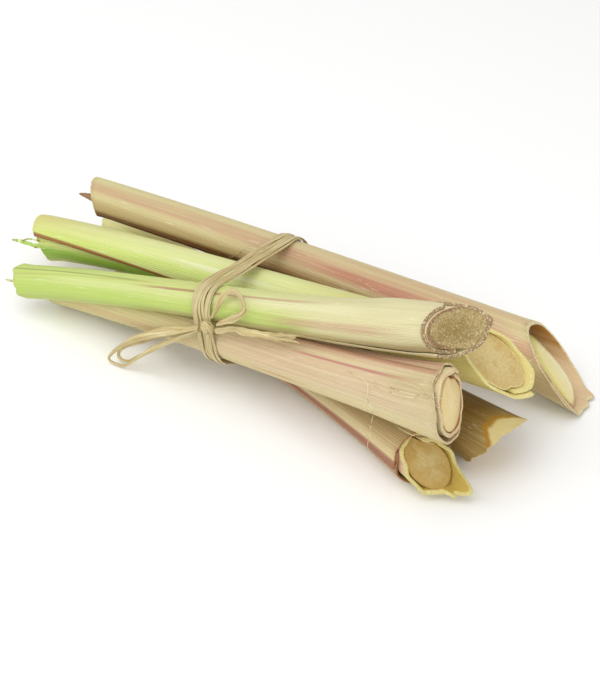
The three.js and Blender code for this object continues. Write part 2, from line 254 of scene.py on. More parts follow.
def wrapped_grid(name, across, along, shape):
    """A flat grid wrapped into a closed skin. shape turns its columns and rows into places and attributes."""
    flat = bmesh.new()
    bmesh.ops.create_grid(flat, x_segments=across, y_segments=along, size=0.5)
    mesh = bpy.data.meshes.new(name)
    flat.to_mesh(mesh)
    flat.free()
    place = np.empty(len(mesh.vertices) * 3, dtype=np.float32)
    mesh.vertices.foreach_get("co", place)
    place = place.reshape(-1, 3) + 0.5
    column = np.rint(place[:, 0] * across).astype(int)
    row = np.rint(place[:, 1] * along).astype(int)
    places, attributes = shape(column, row)
    mesh.vertices.foreach_set("co", np.ascontiguousarray(places, dtype=np.float32).ravel())
    for label, values in attributes.items():
        layer = mesh.attributes.new(label, "FLOAT_VECTOR", "POINT")
        layer.data.foreach_set("vector", np.ascontiguousarray(values, dtype=np.float32).ravel())
    skin = bmesh.new()
    skin.from_mesh(mesh)
    bmesh.ops.remove_doubles(skin, verts=skin.verts, dist=0.002 * MM)
    bmesh.ops.recalc_face_normals(skin, faces=skin.faces)
    for face in skin.faces:
        face.smooth = True
    skin.to_mesh(mesh)
    skin.free()
    piece = bpy.data.objects.new(name, mesh)
    bpy.context.scene.collection.objects.link(piece)
    return piece


def smooth_line(points, count):
    """Evenly spaced points on a smooth line through the given ones."""
    p = np.array(points, dtype=float)
    ends = np.vstack([2 * p[0] - p[1], p, 2 * p[-1] - p[-2]])
    line = []
    for i in range(len(p) - 1):
        a, b, c, d = ends[i:i + 4]
        t = np.linspace(0, 1, 24, endpoint=False)[:, None]
        square = (2 * a - 5 * b + 4 * c - d) * t ** 2
        cube = (3 * b - a - 3 * c + d) * t ** 3
        line.append(0.5 * (2 * b + (c - a) * t + square + cube))
    line = np.vstack(line + [p[-1:]])
    return even_spacing(line, count)


def even_spacing(line, count):
    """The same line with its points evenly spaced."""
    step = np.linalg.norm(np.diff(line, axis=0), axis=1)
    at = np.concatenate([[0], np.cumsum(step)])
    wanted = np.linspace(0, at[-1], count)
    return np.stack([np.interp(wanted, at, line[:, i]) for i in range(3)], axis=1)


def ribbon(name, line, face, width, thick, fold, twist, seed, closed=False, taper=((0, 1), (1, 1))):
    """A folded strand along a line. face is the way that its flat side looks, one direction or one a point,
    and taper gives its width at shares of its length."""
    sides = 20
    count = len(line)
    rng = np.random.default_rng(seed)
    phase = rng.uniform(0, 2 * np.pi, 6)
    if closed:
        tangent = np.roll(line, -1, axis=0) - np.roll(line, 1, axis=0)
    else:
        tangent = np.gradient(line, axis=0)
    tangent /= np.linalg.norm(tangent, axis=1)[:, None]
    look = np.broadcast_to(np.array(face, dtype=float), line.shape)
    side = np.cross(tangent, look)
    side /= np.linalg.norm(side, axis=1)[:, None]
    out = np.cross(side, tangent)
    length = np.concatenate([[0], np.cumsum(np.linalg.norm(np.diff(line, axis=0), axis=1))])
    share = length / length[-1]
    turn = twist * np.sin(2 * np.pi * share + phase[0]) + 0.3 * twist * np.sin(6 * np.pi * share + phase[1])
    side, out = (
        side * np.cos(turn)[:, None] + out * np.sin(turn)[:, None],
        out * np.cos(turn)[:, None] - side * np.sin(turn)[:, None],
    )
    taper = np.array(taper, dtype=float)
    cycle = 2 * np.pi * share
    waves = 1 + 0.13 * np.sin(3 * cycle + phase[2]) + 0.08 * np.sin(7 * cycle + phase[3])
    waves = waves * np.interp(share, taper[:, 0], taper[:, 1])
    folds = fold * (0.7 + 0.3 * np.sin(2 * cycle + phase[4]))

    def shape(column, row):
        last = count - 1
        if closed:
            at = row % count
            cap = np.ones(len(row))
        else:
            at = np.clip(row - 1, 0, last)
            cap = np.where((row == 0) | (row == count + 1), 0.0, 1.0)
        angle = 2 * np.pi * (column % sides) / sides
        across = np.cos(angle) * 0.5 * width * waves[at]
        pleat = np.cos(np.pi * np.cos(angle)) * 0.5 + 0.18 * np.sin(2.5 * np.pi * np.cos(angle) + phase[5])
        crease = folds[at] * width * pleat
        depth = np.sin(angle) * 0.5 * thick + crease * 0.5
        places = line[at] + side[at] * (across * cap)[:, None] + out[at] * (depth * cap)[:, None]
        places[:, 2] = np.maximum(places[:, 2], LOWEST)
        strand = np.stack([column / sides, length[at] / (10 * MM), np.zeros(len(row))], axis=1)
        return places, {"strand": strand}

    rows = count if closed else count + 1
    return wrapped_grid(name, sides, rows, shape)


raffia_material = raffia_finish()
BOW_TWISTS = {
    "raffia_left_loop_outer": 0.6,
    "raffia_left_loop_inner": 0.8,
    "raffia_right_loop": 0.7,
    "raffia_tail": 0.5,
}
for strand_number, (strand_name, strand_points) in enumerate(FREE_STRANDS.items()):
    strand_line = smooth_line(strand_points, 10 * len(strand_points))
    strand_width = RIBBON_WIDTH * (TAIL_WIDENING if strand_name == "raffia_tail" else 1.0)
    strand_piece = ribbon(strand_name + "_ribbon", strand_line, towards_camera, strand_width, RIBBON_THICK,
                          RIBBON_FOLD, BOW_TWISTS[strand_name], 40 + strand_number,
                          taper=STRAND_TAPERS[strand_name])
    strand_piece.data.materials.append(raffia_material)
    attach(strand_piece, "root")
    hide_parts(strand_name)

# The tail's torn end: two thinner strands of the same raffia that split from it, each on a line of its own
# that starts inside the tail.
SPLIT_WIDTH = 0.9 * MM
SPLIT_THICK = 0.2 * MM
TAIL_SPLITS = (
    ((0.0110, -0.0279, 0.0360), (0.0180, -0.0284, 0.0393), (0.0216, -0.0288, 0.0411),
     (0.0246, -0.0292, 0.0424)),
    ((0.0130, -0.0283, 0.0362), (0.0196, -0.0291, 0.0386), (0.0232, -0.0296, 0.0398),
     (0.0252, -0.0300, 0.0399)),
)
for split_number, split_points in enumerate(TAIL_SPLITS):
    split_line = smooth_line(split_points, 40)
    split_piece = ribbon("raffia_tail_split_" + str(split_number), split_line, towards_camera, SPLIT_WIDTH,
                         SPLIT_THICK, 0.2, 0.5, 60 + split_number,
                         taper=((0, 0.5), (0.4, 1), (0.8, 0.8), (1, 0.2)))
    split_piece.data.materials.append(raffia_material)
    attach(split_piece, "root")

# The rear stalk: cream with dusty pink bands, two leaf sheaths rolled about a solid heart. Its base is cut
# very aslant, so that the outer sheath stands open like a trough round the smooth pale heart. Lengths that
# stand without MM here are in millimetres, and a sheath laps over itself by OVERLAP degrees.
OVERLAP = 34
LAP_GAP = 0.3
WHOLE = 360 + OVERLAP
HEART_GAP = 0.15
LIP_LENGTH = 12
CURL = 0.25
CURL_LENGTH = 6
FLARE_FROM = 0.8
SHEATH_COLUMNS = 84
SHEATH_ROWS = 100
HEART_COLUMNS = 110
# Rows at a sheath's ends: millimetres from the cut, and how far its two faces have closed there.
END_ROWS = (
    (0.0, 1.0), (0.02, 0.5), (0.08, 0.2), (0.25, 0.05), (0.6, 0.0), (1.2, 0.0), (2.2, 0.0), (3.6, 0.0),
    (5.5, 0.0),
)
# Rows across a heart's two cut ends, as shares of its radius.
HEART_TOP_FILL = (0.0, 0.15, 0.3, 0.45, 0.6, 0.75, 0.88, 0.97)
HEART_FACE_FILL = (0.985, 0.95, 0.9, 0.84, 0.77, 0.69, 0.6, 0.51, 0.42, 0.33, 0.24, 0.16, 0.08, 0.0)


def lagrange(knots, t):
    """Weights of the cubic through four values, at each t."""
    weights = []
    for i, k in enumerate(knots):
        w = np.ones_like(t)
        for j, other in enumerate(knots):
            if i != j:
                w = w * (t - other) / (k - other)
        weights.append(w)
    return np.stack(weights, axis=1)


def ease(value, low, high):
    """0 below low and 1 above high, with a smooth change between."""
    share = np.clip((value - low) / (high - low), 0, 1)
    return share * share * (3 - 2 * share)


class StalkLine:
    """The middle line of a stalk and its radius along it, in millimetres from the cut top to the cut base."""

    def __init__(self, axis, radius, flatter, seed):
        self.axis = np.array(axis, dtype=float)
        self.radius = np.array(radius, dtype=float)
        self.flatter = flatter
        at = np.concatenate([[0], np.cumsum(np.linalg.norm(np.diff(self.axis, axis=0), axis=1))])
        self.length = at[-1]
        self.knots = at / self.length
        self.phase = np.random.default_rng(seed).uniform(0, 2 * np.pi, 8)

    def middle(self, t):
        return lagrange(self.knots, t) @ self.axis

    def radius_at(self, part):
        part = np.clip(np.asarray(part, dtype=float), 0, 1)
        return lagrange(self.knots, np.atleast_1d(part)) @ self.radius

    def place(self, along, degrees, radius, off_front=0.0, off_up=0.0, depth_below=0.0):
        """Places in metres, given distances along the line, angles round it (0 front, 90 top) and radii.
        depth_below is how far under the outside a point lies, so that a sheet stays whole on the table."""
        t = along / self.length
        point = self.middle(t)
        tangent = self.middle(t + 0.01) - self.middle(t - 0.01)
        tangent /= np.linalg.norm(tangent, axis=1)[:, None]
        front = np.cross(tangent, (0.0, 0.0, 1.0))
        front /= np.linalg.norm(front, axis=1)[:, None]
        up = np.cross(front, tangent)
        angle = np.radians(degrees)
        a, b, c, d = self.phase[:4]
        swell = 1 + 0.012 * np.sin(2 * angle + a + 4 * t) + 0.008 * np.sin(3 * angle + b - 5 * t)
        swell = swell + 0.006 * np.sin(5 * angle + c + 7 * t + d)
        reach = radius * swell * (1 - self.flatter * np.sin(angle) ** 2)
        across = reach * np.cos(angle) + off_front
        above = reach * np.sin(angle) + off_up
        places = point + front * across[:, None] + up * above[:, None]
        places[:, 2] = np.maximum(places[:, 2], np.minimum(depth_below, 6))
        return places * MM


def cut_at(cut, degrees, radius, seed):
    """How far past the end of the line a cut lies: its reach, its slopes to the front and to the top, its
    tear, its fray, and its nicks and tabs as (angle, width in degrees, millimetres)."""
    reach, front, up, ragged, fray, nicks = cut
    angle = np.radians(degrees)
    phase = np.random.default_rng(seed).uniform(0, 2 * np.pi, 12)
    tear = ragged * (0.6 * np.sin(3 * angle + 1.1) + 0.4 * np.sin(7 * angle + 0.4))
    fine = sum(np.sin(k * angle + phase[i]) / (i + 2) for i, k in enumerate((13, 19, 29, 37, 53, 71, 97)))
    cut_line = reach - radius * (front * np.cos(angle) + up * np.sin(angle)) + tear + fray * fine
    for centre, width, size in nicks:
        off = (degrees - centre + 180) % 360 - 180
        cut_line = cut_line + size * np.exp(-(off / width) ** 2)
    return cut_line


def sheet_thickness(roll, part, line):
    """A sheath's thickness, which may grow into a fleshy lip near its base."""
    swell = roll.get("lip", roll["thick"]) - roll["thick"]
    return roll["thick"] + swell * ease((1 - part) * line.length, LIP_LENGTH, 1)


def margin_at(roll, part):
    """The angle at which a sheath's free margin runs."""
    return roll["edge"][0] + (roll["edge"][1] - roll["edge"][0]) * part


def layer_radius(line, roll, part, step):
    """The radius of a sheath's inner face, a share of the way round its roll."""
    thick = sheet_thickness(roll, part, line)
    lift = thick + LAP_GAP
    flare = roll.get("flare", 0) * ease(part, FLARE_FROM, 1.0)
    return line.radius_at(part) - roll["room"] - thick - lift + lift * step * WHOLE / 360 + flare


def inner_wall(line, roll, part, degrees):
    """The radius of the innermost layer of a rolled sheath at an angle."""
    edge = margin_at(roll, part)
    behind = (roll["turn"] * (edge - degrees)) % 360
    outer_step = 1 - behind / WHOLE
    lapped = ease(behind, OVERLAP + 22, OVERLAP) + ease(behind, 352, 360)
    step = outer_step - np.clip(lapped, 0, 1) * np.minimum(360 / WHOLE, outer_step)
    return layer_radius(line, roll, part, step)


def roll_sheath(name, line, roll, seed):
    """A leaf sheath: a thin sheet rolled once round the stalk, its margin lapping over its other edge."""
    sides = SHEATH_COLUMNS
    edge_depths = np.array([0.9, 0.5, 0.1])
    there = np.arange(sides + 1) / sides
    steps = np.concatenate([there, np.ones(3), there[::-1], np.zeros(3), [0.0]])
    depths = np.concatenate([np.ones(sides + 1), edge_depths, np.zeros(sides + 1), edge_depths[::-1], [1.0]])
    near = [d / line.length for d, _ in END_ROWS]
    fold = [f for _, f in END_ROWS]
    inner_rows = np.linspace(near[-1], 1 - near[-1], SHEATH_ROWS)[1:-1]
    parts = np.concatenate([near, inner_rows, [1 - x for x in near[::-1]]])
    folds = np.concatenate([fold, np.zeros(len(inner_rows)), fold[::-1]])
    wave = np.random.default_rng(seed + 500).uniform(0, 2 * np.pi, 6)
    sag = roll.get("sag", (0.0, 0.0))

    def shape(column, row):
        part = parts[row]
        step = steps[column]
        depth = depths[column] * (1 - folds[row]) + 0.5 * folds[row]
        thick = sheet_thickness(roll, part, line)
        lift = thick + LAP_GAP
        degrees = margin_at(roll, part) - roll["turn"] * WHOLE * (1 - step)
        margin = np.exp(-((1 - step) * WHOLE / 3.0) ** 2)
        degrees = degrees + margin * (0.8 * np.sin(9 * part + wave[0]) + 0.5 * np.sin(31 * part + wave[1]))
        mean_top = line.radius_at(0) - roll["room"]
        rim_thick = roll.get("lip", roll["thick"])
        rim = line.radius_at(1) - roll["room"] - rim_thick * (1 - depth)
        rim = rim - (rim_thick + LAP_GAP) * (1 - step * WHOLE / 360)
        start = cut_at(roll["top"], degrees, mean_top, seed)
        end = line.length + cut_at(roll["base"], degrees, rim, seed + 1)
        distance = start + (end - start) * part
        ending = ease(part, FLARE_FROM, 1.0)
        inside = layer_radius(line, roll, part, step)
        angle = np.radians(degrees)
        from_top = part * (end - start)
        from_base = (1 - part) * (end - start)
        for gap, curl, w in (
            (from_top, roll.get("top_curl", CURL), wave[2]),
            (from_base, roll.get("curl", CURL), wave[3]),
        ):
            closeness = np.clip(1 - gap / CURL_LENGTH, 0, 1) ** 2
            waves = 0.4 + 0.5 * np.sin(3 * angle + w) + 0.35 * np.sin(8 * angle + 2 * w)
            inside = inside + curl * closeness * waves
        for centre, width, at, spread, height in roll.get("bulges", ()):
            off = (degrees - centre + 180) % 360 - 180
            bulge = np.exp(-(off / width) ** 2 - ((from_base - at) / spread) ** 2)
            inside = inside + height * bulge * ease(step, 0.0, 0.12)
        below = thick * (1 - depth) + (roll["room"] + lift * (1 - step * WHOLE / 360))
        places = line.place(distance, degrees, inside + thick * depth, sag[0] * ending, sag[1] * ending,
                            below)
        leaf = np.stack([degrees / 360, distance / 100, step], axis=1)
        cut = np.stack([from_top, from_base, depth], axis=1)
        return places, {"leaf": leaf, "cut": cut}

    return wrapped_grid(name, len(steps) - 1, len(parts) - 1, shape)


def shape_heart(name, line, roll, top, base, sag=(0.0, 0.0), relief=0.12, dome=0.0, seed=1):
    """The solid heart of a stalk, which fills its innermost rolled sheath: a tapering rod with flat cut ends.
    dome swells its cut face, and relief roughens it."""
    sides = HEART_COLUMNS
    body = np.linspace(0, 1, 64)
    body = np.concatenate([body[:-1], [1 - 0.8 / line.length, 1 - 0.2 / line.length]])
    parts = np.concatenate([np.zeros(len(HEART_TOP_FILL)), body, np.ones(len(HEART_FACE_FILL))])
    fills = np.concatenate([HEART_TOP_FILL, np.ones(len(body)), HEART_FACE_FILL])
    on_face = np.arange(len(parts)) >= len(HEART_TOP_FILL) + len(body)
    phase = np.random.default_rng(seed).uniform(0, 2 * np.pi, 10)

    def shape(column, row):
        part = parts[row]
        fill = fills[row]
        degrees = 360 * (column % sides) / sides
        radius = (inner_wall(line, roll, part, degrees) - HEART_GAP) * fill
        ending = ease(part, FLARE_FROM, 1.0)
        start = cut_at(top, degrees, radius, seed)
        flat_cut = cut_at(base[:5] + ((),), degrees, radius, seed + 1)
        nicked = cut_at(base, degrees, radius, seed + 1)
        end = line.length + flat_cut + (nicked - flat_cut) * fill ** 3
        angle = np.radians(degrees)
        x, y = radius * np.cos(angle), radius * np.sin(angle)
        rough = np.sin(1.9 * x + phase[0]) * np.sin(2.3 * y + phase[1])
        rough = rough + 0.7 * np.sin(4.1 * x - 3 * y + phase[2])
        rough = rough + 0.5 * np.sin(6.7 * y + 5.1 * x + phase[3])
        swelling = relief * 0.5 * rough + dome * (1 - fill ** 2)
        distance = start + (end - start) * part + on_face[row] * swelling
        places = line.place(distance, degrees, radius, sag[0] * ending, sag[1] * ending, 2.5)
        heart = np.stack([part * (end - start), (1 - part) * (end - start), fill], axis=1)
        return places, {"heart": heart}

    return wrapped_grid(name, sides, len(parts) - 1, shape)


def fibre_group():
    """Leaf fibres: streaks and fine ribs that run along the sheath, the relief that they make, and a mask of
    short dashes for painted glints.
    """
    group = bpy.data.node_groups.new("leaf_fibres", "ShaderNodeTree")
    group.interface.new_socket("Leaf", in_out="INPUT", socket_type="NodeSocketVector")
    group.interface.new_socket("Rib count", in_out="INPUT", socket_type="NodeSocketFloat")
    for label in ("Streaks", "Broad", "Ribs", "Height", "Glints"):
        group.interface.new_socket(label, in_out="OUTPUT", socket_type="NodeSocketFloat")
    given = group.nodes.new("NodeGroupInput")
    out = group.nodes.new("NodeGroupOutput")
    leaf = given.outputs["Leaf"]
    streaks = stretched_noise(group, leaf, (150.0, 2.2, 0.0), detail=3.0)
    broad = stretched_noise(group, leaf, (22.0, 1.2, 0.0), detail=3.0)
    # Short dashes along the fibres: the mask of painted glints of light.
    glint_noise = stretched_noise(group, leaf, (100.0, 9.0, 0.0), detail=2.0)
    parts = wire(group, "ShaderNodeSeparateXYZ", {0: leaf})
    wander = arithmetic(group, "MULTIPLY", stretched_noise(group, leaf, (12.0, 1.4, 0.0)), 5.0)
    turns = arithmetic(group, "MULTIPLY", parts.outputs["X"], given.outputs["Rib count"])
    wave = arithmetic(group, "SINE", arithmetic(group, "MULTIPLY_ADD", turns, 2 * math.pi, wander))
    ribs = arithmetic(group, "MULTIPLY_ADD", wave, 0.5, 0.5)
    height = arithmetic(group, "MULTIPLY_ADD", ribs, 0.6, arithmetic(group, "MULTIPLY", streaks, 0.8))
    glints = fade(group, glint_noise, 0.66, 0.74)
    for label, value in (("Streaks", streaks), ("Broad", broad), ("Ribs", ribs), ("Height", height),
                         ("Glints", glints)):
        group.links.new(value, out.inputs[label])
    return group


def band_group():
    """A long tinted band on a sheath: its mask from the angle round the stalk and the distance along it."""
    group = bpy.data.node_groups.new("long_band", "ShaderNodeTree")
    group.interface.new_socket("Leaf", in_out="INPUT", socket_type="NodeSocketVector")
    for label in ("Centre", "Drift", "Width", "Start", "End", "Break"):
        group.interface.new_socket(label, in_out="INPUT", socket_type="NodeSocketFloat")
    group.interface.new_socket("Mask", in_out="OUTPUT", socket_type="NodeSocketFloat")
    given = group.nodes.new("NodeGroupInput")
    out = group.nodes.new("NodeGroupOutput")
    leaf = given.outputs["Leaf"]
    parts = wire(group, "ShaderNodeSeparateXYZ", {0: leaf})
    centre = arithmetic(group, "MULTIPLY_ADD", parts.outputs["Y"], given.outputs["Drift"],
                        given.outputs["Centre"])
    wobble = arithmetic(group, "MULTIPLY_ADD", stretched_noise(group, leaf, (40.0, 1.6, 0.0)), 0.05, -0.025)
    off = arithmetic(group, "SUBTRACT", parts.outputs["X"], centre)
    off = arithmetic(group, "WRAP", off, 0.5, -0.5)
    off = arithmetic(group, "ABSOLUTE", off)
    off = arithmetic(group, "ADD", arithmetic(group, "DIVIDE", off, given.outputs["Width"]),
                     arithmetic(group, "MULTIPLY", wobble, 8.0))
    across = arithmetic(group, "SUBTRACT", 1.0, fade(group, off, 0.25, 1.0))
    past_start = arithmetic(group, "SUBTRACT", parts.outputs["Y"], given.outputs["Start"])
    before_end = arithmetic(group, "SUBTRACT", given.outputs["End"], parts.outputs["Y"])
    begin = fade(group, past_start, -0.10, 0.10)
    finish = fade(group, before_end, -0.10, 0.10)
    patchy = fade(group, stretched_noise(group, leaf, (75.0, 1.3, 0.0)), 0.38, 0.60)
    broken = wire(group, "ShaderNodeMix", {0: given.outputs["Break"], 2: 1.0, 3: patchy}).outputs[0]
    ends = arithmetic(group, "MULTIPLY", begin, finish)
    mask = arithmetic(group, "MULTIPLY", arithmetic(group, "MULTIPLY", across, ends), broken)
    group.links.new(mask, out.inputs["Mask"])
    return group


leaf_fibres = fibre_group()
long_band = band_group()


def srgb(red, green, blue):
    """A colour as it is on screen, 0 to 255, as the shader's linear colour."""
    shares = (red / 255, green / 255, blue / 255)
    return tuple(c / 12.92 if c <= 0.04045 else ((c + 0.055) / 1.055) ** 2.4 for c in shares) + (1.0,)


# Near white: painted glints on the sheaths, and the paler patches of the loose fibres.
PAINTED_GLINT_AND_PALE_TONE = srgb(246, 243, 222)
STREAK_PALE = srgb(240, 236, 196)
STREAK_DEEP = (0.66, 0.55, 0.36, 1.0)
STREAK_INSIDE = (0.62, 0.46, 0.28, 1.0)
RIB_SHADE = (0.78, 0.70, 0.50, 1.0)
HATCH_SHADE = (0.86, 0.78, 0.64, 1.0)
DRIED_TONE = srgb(150, 112, 62)


def leaf_finish(name, tones, bands, inside, rim, margin, browned, ribs=90.0, hatch=0.0, patch=None):
    """A leaf sheath's finish. tones run from top to base as (millimetres, colour). bands are (centre angle,
    drift in degrees per 100 mm, width, start, end, colour, amount, break). patch is an arched patch at the
    base as (centre angle, half width, height, edge colour, colour). inside is (two colours, the angles
    between which they change), rim is the cut edge's two colours, margin the free margin's (colour, amount,
    millimetres it reaches), and browned is how much the cut ends have dried."""
    material, tree = new_material(name)
    leaf = attribute(tree, "leaf")
    cut = wire(tree, "ShaderNodeSeparateXYZ", {0: attribute(tree, "cut")})
    leaf_parts = wire(tree, "ShaderNodeSeparateXYZ", {0: leaf})
    fibres = wire(tree, "ShaderNodeGroup", {"Leaf": leaf, "Rib count": ribs}, node_tree=leaf_fibres)
    soft = arithmetic(tree, "MULTIPLY_ADD", fibres.outputs["Broad"], 0.3, -0.15)
    length = tones[-1][0] / 100
    along = arithmetic(tree, "DIVIDE", arithmetic(tree, "ADD", leaf_parts.outputs["Y"], soft), length)
    ramp = wire(tree, "ShaderNodeValToRGB", {"Fac": along})
    ramp.color_ramp.elements[0].color = tones[0][1]
    ramp.color_ramp.elements[0].position = tones[0][0] / 100 / length
    ramp.color_ramp.elements[1].color = tones[-1][1]
    ramp.color_ramp.elements[1].position = 1.0
    for at, tone in tones[1:-1]:
        ramp.color_ramp.elements.new(at / 100 / length).color = tone
    colour = ramp.outputs["Color"]
    for centre, drift, width, start, end, tone, amount, broken in bands:
        given = {"Leaf": leaf, "Centre": centre / 360, "Drift": drift / 360, "Width": width / 360}
        given |= {"Start": start / 100, "End": end / 100, "Break": broken}
        band = wire(tree, "ShaderNodeGroup", given, node_tree=long_band)
        colour = tint(tree, colour, tone, band.outputs["Mask"], amount)
    pale = fade(tree, fibres.outputs["Streaks"], 0.5, 0.72)
    deep = fade(tree, fibres.outputs["Streaks"], 0.47, 0.27)
    colour = tint(tree, colour, STREAK_PALE, pale, 0.26)
    colour = tint(tree, colour, STREAK_DEEP, deep, 0.42, "MULTIPLY")
    colour = tint(tree, colour, RIB_SHADE, fibres.outputs["Ribs"], 0.22, "MULTIPLY")
    # Short near-white dashes: painted glints of light on the fibres.
    colour = tint(tree, colour, PAINTED_GLINT_AND_PALE_TONE, fibres.outputs["Glints"], 0.55)
    margin_tone, margin_amount, margin_end = margin
    free = fade(tree, leaf_parts.outputs["Z"], 0.970, 0.984)
    reached = fade(tree, leaf_parts.outputs["Y"], margin_end / 100, margin_end / 100 - 0.3)
    colour = tint(tree, colour, margin_tone, arithmetic(tree, "MULTIPLY", free, reached), margin_amount)
    if patch:
        centre, half_width, arch, edge_tone, patch_tone = patch
        off = arithmetic(tree, "MULTIPLY_ADD", leaf_parts.outputs["X"], 360 / half_width,
                         -centre / half_width)
        fall = arithmetic(tree, "SUBTRACT", 1.0, arithmetic(tree, "MULTIPLY", off, off))
        past = arithmetic(tree, "SUBTRACT", arithmetic(tree, "MULTIPLY", fall, arch), cut.outputs["Y"])
        past = arithmetic(tree, "ADD", past,
                          arithmetic(tree, "MULTIPLY_ADD", fibres.outputs["Broad"], 1.2, -0.6))
        edge_off = arithmetic(tree, "ABSOLUTE", past)
        colour = blend(tree, fade(tree, past, -0.4, 1.6), colour, patch_tone)
        colour = tint(tree, colour, edge_tone, fade(tree, edge_off, 2.2, 0.2), 0.9)
    nearest = arithmetic(tree, "MINIMUM", cut.outputs["X"], cut.outputs["Y"])
    dried = arithmetic(tree, "MULTIPLY", fade(tree, nearest, 2.6, 0.2), browned)
    dried = arithmetic(tree, "MULTIPLY", dried, fade(tree, fibres.outputs["Broad"], 0.35, 0.65))
    colour = blend(tree, dried, colour, DRIED_TONE)
    inner_face = fade(tree, cut.outputs["Z"], 0.55, 0.45)
    round_leaf = arithmetic(tree, "ADD", leaf_parts.outputs["X"], soft)
    inner_tone = blend(tree, fade(tree, round_leaf, inside[2] / 360, inside[3] / 360), inside[0], inside[1])
    inner_tone = tint(tree, inner_tone, STREAK_INSIDE, deep, 0.4, "MULTIPLY")
    colour = blend(tree, inner_face, colour, inner_tone)
    on_rim = fade(tree, nearest, 0.22, 0.10)
    dots = object_noise(tree, 1500.0, 2.0)
    rim_tone = blend(tree, fade(tree, dots, 0.5, 0.62), rim[0], rim[1])
    colour = blend(tree, on_rim, colour, rim_tone)
    height = fibres.outputs["Height"]
    if hatch:
        lean = arithmetic(tree, "MULTIPLY_ADD", leaf_parts.outputs["X"], -330.0,
                          arithmetic(tree, "MULTIPLY", leaf_parts.outputs["Y"], 560.0))
        twill = arithmetic(tree, "SINE", lean)
        height = arithmetic(tree, "MULTIPLY_ADD", twill, hatch, height)
        shade = arithmetic(tree, "MULTIPLY", fade(tree, twill, 0.2, 0.9), hatch)
        colour = blend(tree, shade, colour, HATCH_SHADE, "MULTIPLY")
    given = {"Value": fibres.outputs["Streaks"], "To Min": 0.36, "To Max": 0.6}
    roughness = wire(tree, "ShaderNodeMapRange", given).outputs["Result"]
    finished_material(name, colour, roughness, height, 0.2 * MM, gloss=0.4)
    return material


def heart_finish(name, side, face, rings, speckle, stain=None, sheen=0.46):
    """A heart's finish. side is its skin and face is (middle, outer) for the cut face. rings are (share of
    the radius, width, colour, amount, the X in millimetres between which it fades out), speckle is (dark
    colour, light colour, amount, grains per metre), and stain is (colour, from share, amount)."""
    material, tree = new_material(name)
    heart = wire(tree, "ShaderNodeSeparateXYZ", {0: attribute(tree, "heart")})
    speck_dark, speck_light, speck_amount, grains = speckle
    coarse = object_noise(tree, 260.0, 3.0)
    grain = object_noise(tree, grains, 3.0, Roughness=0.7)
    shifted = arithmetic(tree, "MULTIPLY_ADD", coarse, 0.18,
                         arithmetic(tree, "SUBTRACT", heart.outputs["Z"], 0.09))
    colour = blend(tree, fade(tree, shifted, 0.15, 0.95), face[0], face[1])
    if stain:
        stain_tone, stained_from, stain_amount = stain
        colour = tint(tree, colour, stain_tone, fade(tree, coarse, stained_from, stained_from + 0.12),
                      stain_amount)
    for share, width, tone, amount, fading in rings:
        off = arithmetic(tree, "ABSOLUTE", arithmetic(tree, "SUBTRACT", shifted, share))
        ring = arithmetic(tree, "MULTIPLY", fade(tree, off, width, width * 0.25), amount)
        if fading:
            place = wire(tree, "ShaderNodeTexCoord").outputs["Object"]
            along_x = wire(tree, "ShaderNodeSeparateXYZ", {0: place}).outputs["X"]
            ring = arithmetic(tree, "MULTIPLY", ring, fade(tree, along_x, fading[1] * MM, fading[0] * MM))
        colour = blend(tree, ring, colour, tone)
    colour = tint(tree, colour, speck_dark, fade(tree, grain, 0.50, 0.36), speck_amount)
    colour = tint(tree, colour, speck_light, fade(tree, grain, 0.56, 0.68), speck_amount)
    layers = arithmetic(tree, "SINE", arithmetic(tree, "MULTIPLY", heart.outputs["Z"], 38.0))
    layers = arithmetic(tree, "MULTIPLY_ADD", layers, 0.5, 0.5)
    top_face = tint(tree, side, speck_dark, layers, 0.6)
    side_tone = blend(tree, fade(tree, heart.outputs["X"], 0.6, 0.1), side, top_face)
    on_side = fade(tree, heart.outputs["Y"], 0.1, 0.5)
    colour = blend(tree, on_side, colour, side_tone)
    height = arithmetic(tree, "MULTIPLY_ADD", grain, 1.0, arithmetic(tree, "MULTIPLY", coarse, 0.6))
    finished_material(name, colour, sheen, height, 0.3 * MM * min(1, sheen * 2), gloss=0.5)
    return material


def dress(piece, material, node):
    """Gives a finished piece its material, hangs it on the root body and hides the solid that it stands for.
    """
    piece.data.materials.append(material)
    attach(piece, "root")
    if node:
        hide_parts(node)


